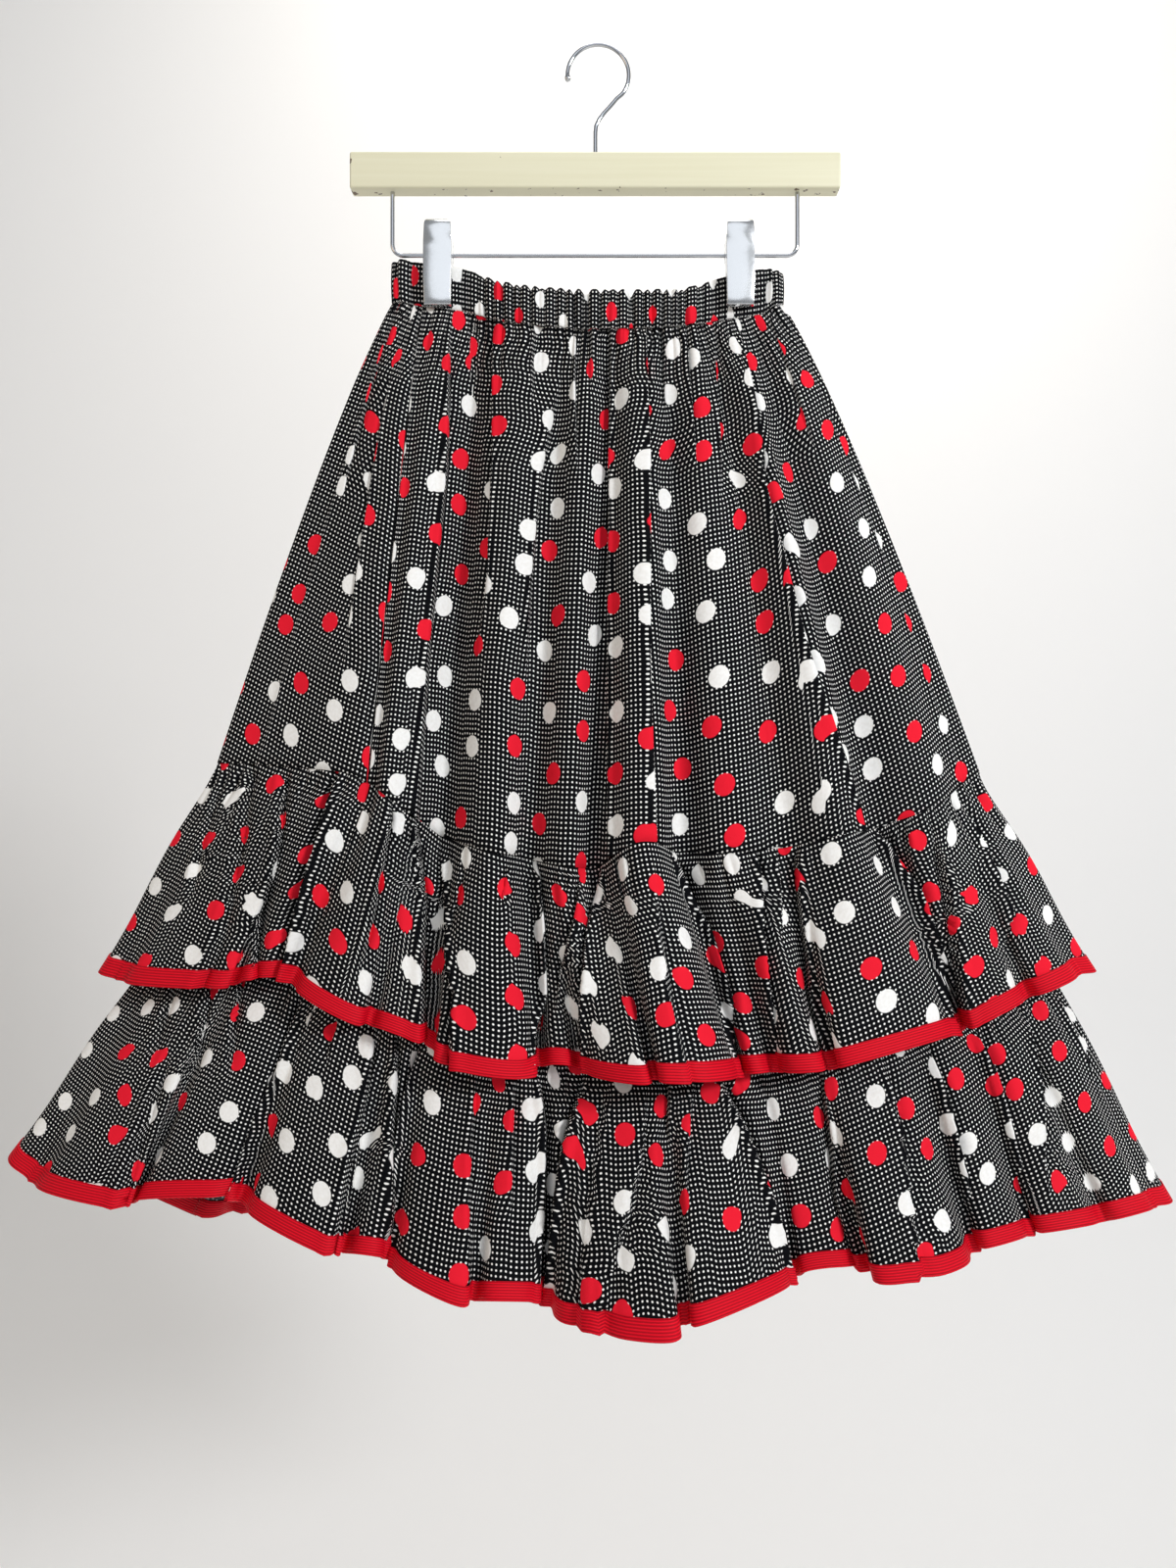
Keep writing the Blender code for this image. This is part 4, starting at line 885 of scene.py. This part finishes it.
brushed = add_node(painted, "VectorMath", {0: place, 1: (6.0, 260.0, 260.0)}, operation="MULTIPLY")
streaks = add_node(painted, "TexNoise", {"Vector": brushed, "Scale": 1.0, "Detail": 3.0})
cream = add_node(painted, "Mix", {0: streaks.outputs["Fac"], 6: colour("#ece8cc"), 7: colour("#e2ddbb")},
                 data_type="RGBA")
surface = add_node(painted, "Mix", {0: chip, 6: cream.outputs[2], 7: colour("#6b5942")},
                   data_type="RGBA")
painted.node_tree.links.new(surface.outputs[2], paint.inputs["Base Color"])
relief = add_node(painted, "Math", {0: chip, 1: -1.5, 2: streaks.outputs["Fac"]},
                  operation="MULTIPLY_ADD")
bump = add_node(painted, "Bump", {"Height": relief, "Strength": 0.3, "Distance": 0.0003})
painted.node_tree.links.new(bump.outputs["Normal"], paint.inputs["Normal"])
bpy.ops.mesh.primitive_cube_add(size=1.0)
bar = bpy.context.object
bar.name = "painted_bar"
bpy.ops.object.mode_set(mode="EDIT")
bpy.ops.mesh.select_all(action="SELECT")
bpy.ops.transform.resize(value=(BAR_WIDTH * MM, BAR_DEPTH * MM, BAR_HEIGHT * MM))
bpy.ops.transform.translate(value=(BAR_CENTRE_X * MM, 0.0, (BAR_TOP_Z - BAR_HEIGHT / 2) * MM))
bpy.ops.mesh.bevel(offset=1.6 * MM, segments=4)
bpy.ops.object.mode_set(mode="OBJECT")
bar.data.materials.append(painted)
bar.data.shade_smooth()
bar.select_set(False)
wear(bar, "cream_painted_wood", "hanger_bar")

# The two spring clips on the rail, each two pressed plates of bright plated steel with an arched top,
# a lip turned in at the bottom and ears that the rail runs through, and a coiled spring between.
CLIP_WIDTH, CLIP_HEIGHT, CLIP_TOP_ABOVE_RAIL = 20.6, 63.0, 22.6
CLIP_PLATE, CLIP_FACE, CLIP_PLAY, JAW_Y = 1.2, 11.6, 0.6, 3.4
BACK_WIDTH = CLIP_WIDTH - 2 * CLIP_PLATE - CLIP_PLAY
EAR_DROP, EAR_RISE, EAR_BACK, EAR_HOLE = 22.0, 9.0, 4.0, 2.2


def clip_plate(name, centre_x, side, width):
    """A clip's plate, extruded up its face from the jaw, with its two ears and the holes in them."""
    top = RAIL_Z + CLIP_TOP_ABOVE_RAIL
    bottom = top - CLIP_HEIGHT
    face = CLIP_FACE - CLIP_PLATE / 2
    # Up the plate: how far it is from the rail, its height, and its share of the full width
    path = [(face - 2.6, bottom + 0.6, 1.0), (face - 0.9, bottom + 1.3, 1.0),
            (face - 0.15, bottom + 3.4, 1.0), (face, bottom + 6.0, 1.0), (face, RAIL_Z - EAR_DROP, 1.0),
            (face, RAIL_Z - EAR_HOLE, 1.0), (face, RAIL_Z + EAR_HOLE, 1.0), (face, RAIL_Z + EAR_RISE, 1.0),
            (face, top - 5.5, 1.0), (face - 0.1, top - 3.6, 0.985), (face - 0.4, top - 2.2, 0.94),
            (face - 1.0, top - 1.3, 0.85), (face - 2.0, top - 0.8, 0.72)]
    bpy.ops.mesh.primitive_plane_add(size=1.0)
    plate = bpy.context.object
    plate.name = name
    half = width / 2 - CLIP_PLATE / 2
    jaw_y, jaw_z = JAW_Y + 0.1, bottom + 0.6
    bpy.ops.object.mode_set(mode="EDIT")
    bpy.ops.mesh.select_all(action="SELECT")
    bpy.ops.mesh.delete(type="ONLY_FACE")
    shape = bmesh.from_edit_mesh(plate.data)
    bmesh.ops.delete(shape, geom=[v for v in shape.verts if v.co.y > 0], context="VERTS")
    for vert in shape.verts:
        vert.co = ((centre_x + math.copysign(half, vert.co.x)) * MM, side * jaw_y * MM, jaw_z * MM)
    bmesh.update_edit_mesh(plate.data)
    bpy.ops.mesh.select_all(action="SELECT")
    here, wide = (jaw_y, jaw_z), 1.0
    for y, z, breadth in path:
        move = (0.0, side * (y - here[0]) * MM, (z - here[1]) * MM)
        bpy.ops.mesh.extrude_edges_move(TRANSFORM_OT_translate={"value": move})
        bpy.ops.transform.resize(value=(breadth / wide, 1.0, 1.0))
        here, wide = (y, z), breadth
    shape = bmesh.from_edit_mesh(plate.data)
    low_z, high_z = (RAIL_Z - EAR_DROP - 0.1) * MM, (RAIL_Z + EAR_RISE + 0.1) * MM
    for edge in shape.edges:
        edge.select_set(edge.is_boundary and all(low_z < v.co.z < high_z for v in edge.verts))
    bmesh.update_edit_mesh(plate.data)
    start = face
    for end in (EAR_HOLE, -EAR_HOLE, -EAR_BACK):
        move = (0.0, side * (end - start) * MM, 0.0)
        bpy.ops.mesh.extrude_edges_move(TRANSFORM_OT_translate={"value": move})
        start = end
    shape = bmesh.from_edit_mesh(plate.data)
    holes = [f for f in shape.faces if abs(f.calc_center_median().y) < 1e-5
             and abs(f.calc_center_median().z - RAIL_Z * MM) < 1e-5]
    bmesh.ops.delete(shape, geom=holes, context="FACES")
    low_ends = [v for v in shape.verts if abs(v.co.y) < (EAR_BACK + 0.1) * MM and v.co.z < low_z + 0.001]
    for vert in low_ends:
        vert.co.z = (RAIL_Z - EAR_BACK) * MM
    bmesh.update_edit_mesh(plate.data)
    bpy.ops.mesh.select_all(action="SELECT")
    bpy.ops.mesh.normals_make_consistent(inside=False)
    bpy.ops.object.mode_set(mode="OBJECT")
    wall = {"thickness": CLIP_PLATE * MM, "offset": 0.0, "use_even_offset": True}
    rounding = {"width": 0.25 * MM, "segments": 2}
    for kind, settings in (("SOLIDIFY", wall), ("BEVEL", rounding)):
        change = plate.modifiers.new(kind.lower(), kind)
        for setting, value in settings.items():
            setattr(change, setting, value)
        bpy.ops.object.modifier_apply(modifier=change.name)
    plate.data.materials.append(plated)
    plate.data.shade_smooth()
    plate.select_set(False)
    return plate


plated = steel("plated_clip_steel", "#e9ebec", 0.2)
SPRING_RADIUS, SPRING_WIRE, SPRING_TURNS, SPRING_PITCH = 2.7, 0.62, 9, 2.1
for label, centre_x in zip(("left", "right"), CLIP_CENTRES):
    for part, side, width in (("front", -1, CLIP_WIDTH), ("back", 1, BACK_WIDTH)):
        plate = clip_plate(f"clip_{label}_{part}_plate", centre_x, side, width)
        wear(plate, "clip_steel", f"clip_{label}_{part}")
    turns = []
    for turn in range(SPRING_TURNS):
        x = centre_x + (turn - (SPRING_TURNS - 1) / 2) * SPRING_PITCH * SPRING_WIRE
        bpy.ops.mesh.primitive_torus_add(
            major_radius=SPRING_RADIUS * MM, minor_radius=SPRING_WIRE * MM, major_segments=32,
            minor_segments=10, rotation=(0.0, math.pi / 2, 0.0), location=(x * MM, 0.0, RAIL_Z * MM))
        turns.append(bpy.context.object)
    for turn in turns:
        turn.select_set(True)
    bpy.ops.object.join()
    spring = bpy.context.object
    bpy.ops.object.transform_apply(location=True, rotation=True, scale=True)
    spring.name = f"clip_{label}_coiled_spring"
    spring.data.materials.append(plated)
    spring.data.shade_smooth()
    spring.select_set(False)
    wear(spring, "clip_steel", f"clip_{label}_spring")

# Studio: a pale floor and backdrop in one sweep, a key light from the right, softer ones from the
# left, from above and from in front, one that washes the backdrop, and the camera where the
# photograph was taken from. Places are in metres.
CAMERA_PLACE = (-0.0074, -0.862, -0.5393)
FLOOR_Z, BACK_Y, SWEEP_RADIUS = -1.75, 1.45, 0.8
FLOOR_FRONT_Y, SWEEP_TOP_Z, SWEEP_HALF_WIDTH = -3.0, 3.0, 4.0

backdrop_paper, _ = new_material("pale_backdrop", 0.9, Base_Color=colour("#f4f3f1"))
bend_y, bend_z = BACK_Y - SWEEP_RADIUS, FLOOR_Z + SWEEP_RADIUS
profile = [(FLOOR_FRONT_Y, FLOOR_Z), (bend_y, FLOOR_Z)]
profile += [(bend_y + SWEEP_RADIUS * math.sin(a), bend_z - SWEEP_RADIUS * math.cos(a))
            for a in np.linspace(0.1, math.pi / 2, 14)]
profile += [(BACK_Y, SWEEP_TOP_Z)]
sweep = bpy.data.meshes.new("backdrop")
sweep.from_pydata([(x, y, z) for y, z in profile for x in (-SWEEP_HALF_WIDTH, SWEEP_HALF_WIDTH)], [],
                  [(2 * i, 2 * i + 1, 2 * i + 3, 2 * i + 2) for i in range(len(profile) - 1)])
sweep.materials.append(backdrop_paper)
sweep.shade_smooth()
backdrop = bpy.data.objects.new("backdrop", sweep)
bpy.context.scene.collection.objects.link(backdrop)


def area_light(name, place, aim, size, power, tint):
    """A round soft light at a place, turned to what it lights."""
    data = bpy.data.lights.new(name, "AREA")
    data.shape, data.size, data.energy, data.color = "DISK", size, power, colour(tint)[:3]
    light = bpy.data.objects.new(name, data)
    bpy.context.scene.collection.objects.link(light)
    light.location = place
    direction = np.array(aim, float) - np.array(place, float)
    yaw, level = math.atan2(-direction[0], direction[1]), math.hypot(direction[0], direction[1])
    light.rotation_euler = (math.atan2(level, -direction[2]), 0.0, yaw)
    return light


SKIRT = (0.0, 0.0, -0.5)
lights = [
    area_light("key", (1.9, -2.1, 0.5), SKIRT, 0.6, 56.0, "#f9fbff"),
    area_light("fill", (-1.8, -1.2, 0.0), SKIRT, 1.2, 6.0, "#ffe2bd"),
    area_light("top", (0.1, -0.3, 1.4), SKIRT, 1.0, 6.0, "#ffffff"),
    area_light("window", (0.0, -3.0, 1.0), (0.0, 0.0, -0.3), 2.6, 14.0, "#f4f8ff"),
    area_light("wash", (0.3, 0.55, 1.5), (0.0, BACK_Y, -0.5), 1.2, 18.0, "#fffaf2"),
]
world = bpy.data.worlds.new("soft_room")
world.use_nodes = True
world.node_tree.nodes["Background"].inputs["Color"].default_value = colour("#d9dde2")
world.node_tree.nodes["Background"].inputs["Strength"].default_value = 0.35
bpy.context.scene.world = world
bpy.context.scene.view_settings.view_transform = "Standard"

camera_data = bpy.data.cameras.new("camera")
camera_data.lens, camera_data.sensor_width = 27.05, 36.0
camera = bpy.data.objects.new("camera", camera_data)
bpy.context.scene.collection.objects.link(camera)
camera.location = CAMERA_PLACE
camera.rotation_euler = (math.radians(90), 0.0, 0.0)
bpy.context.scene.camera = camera
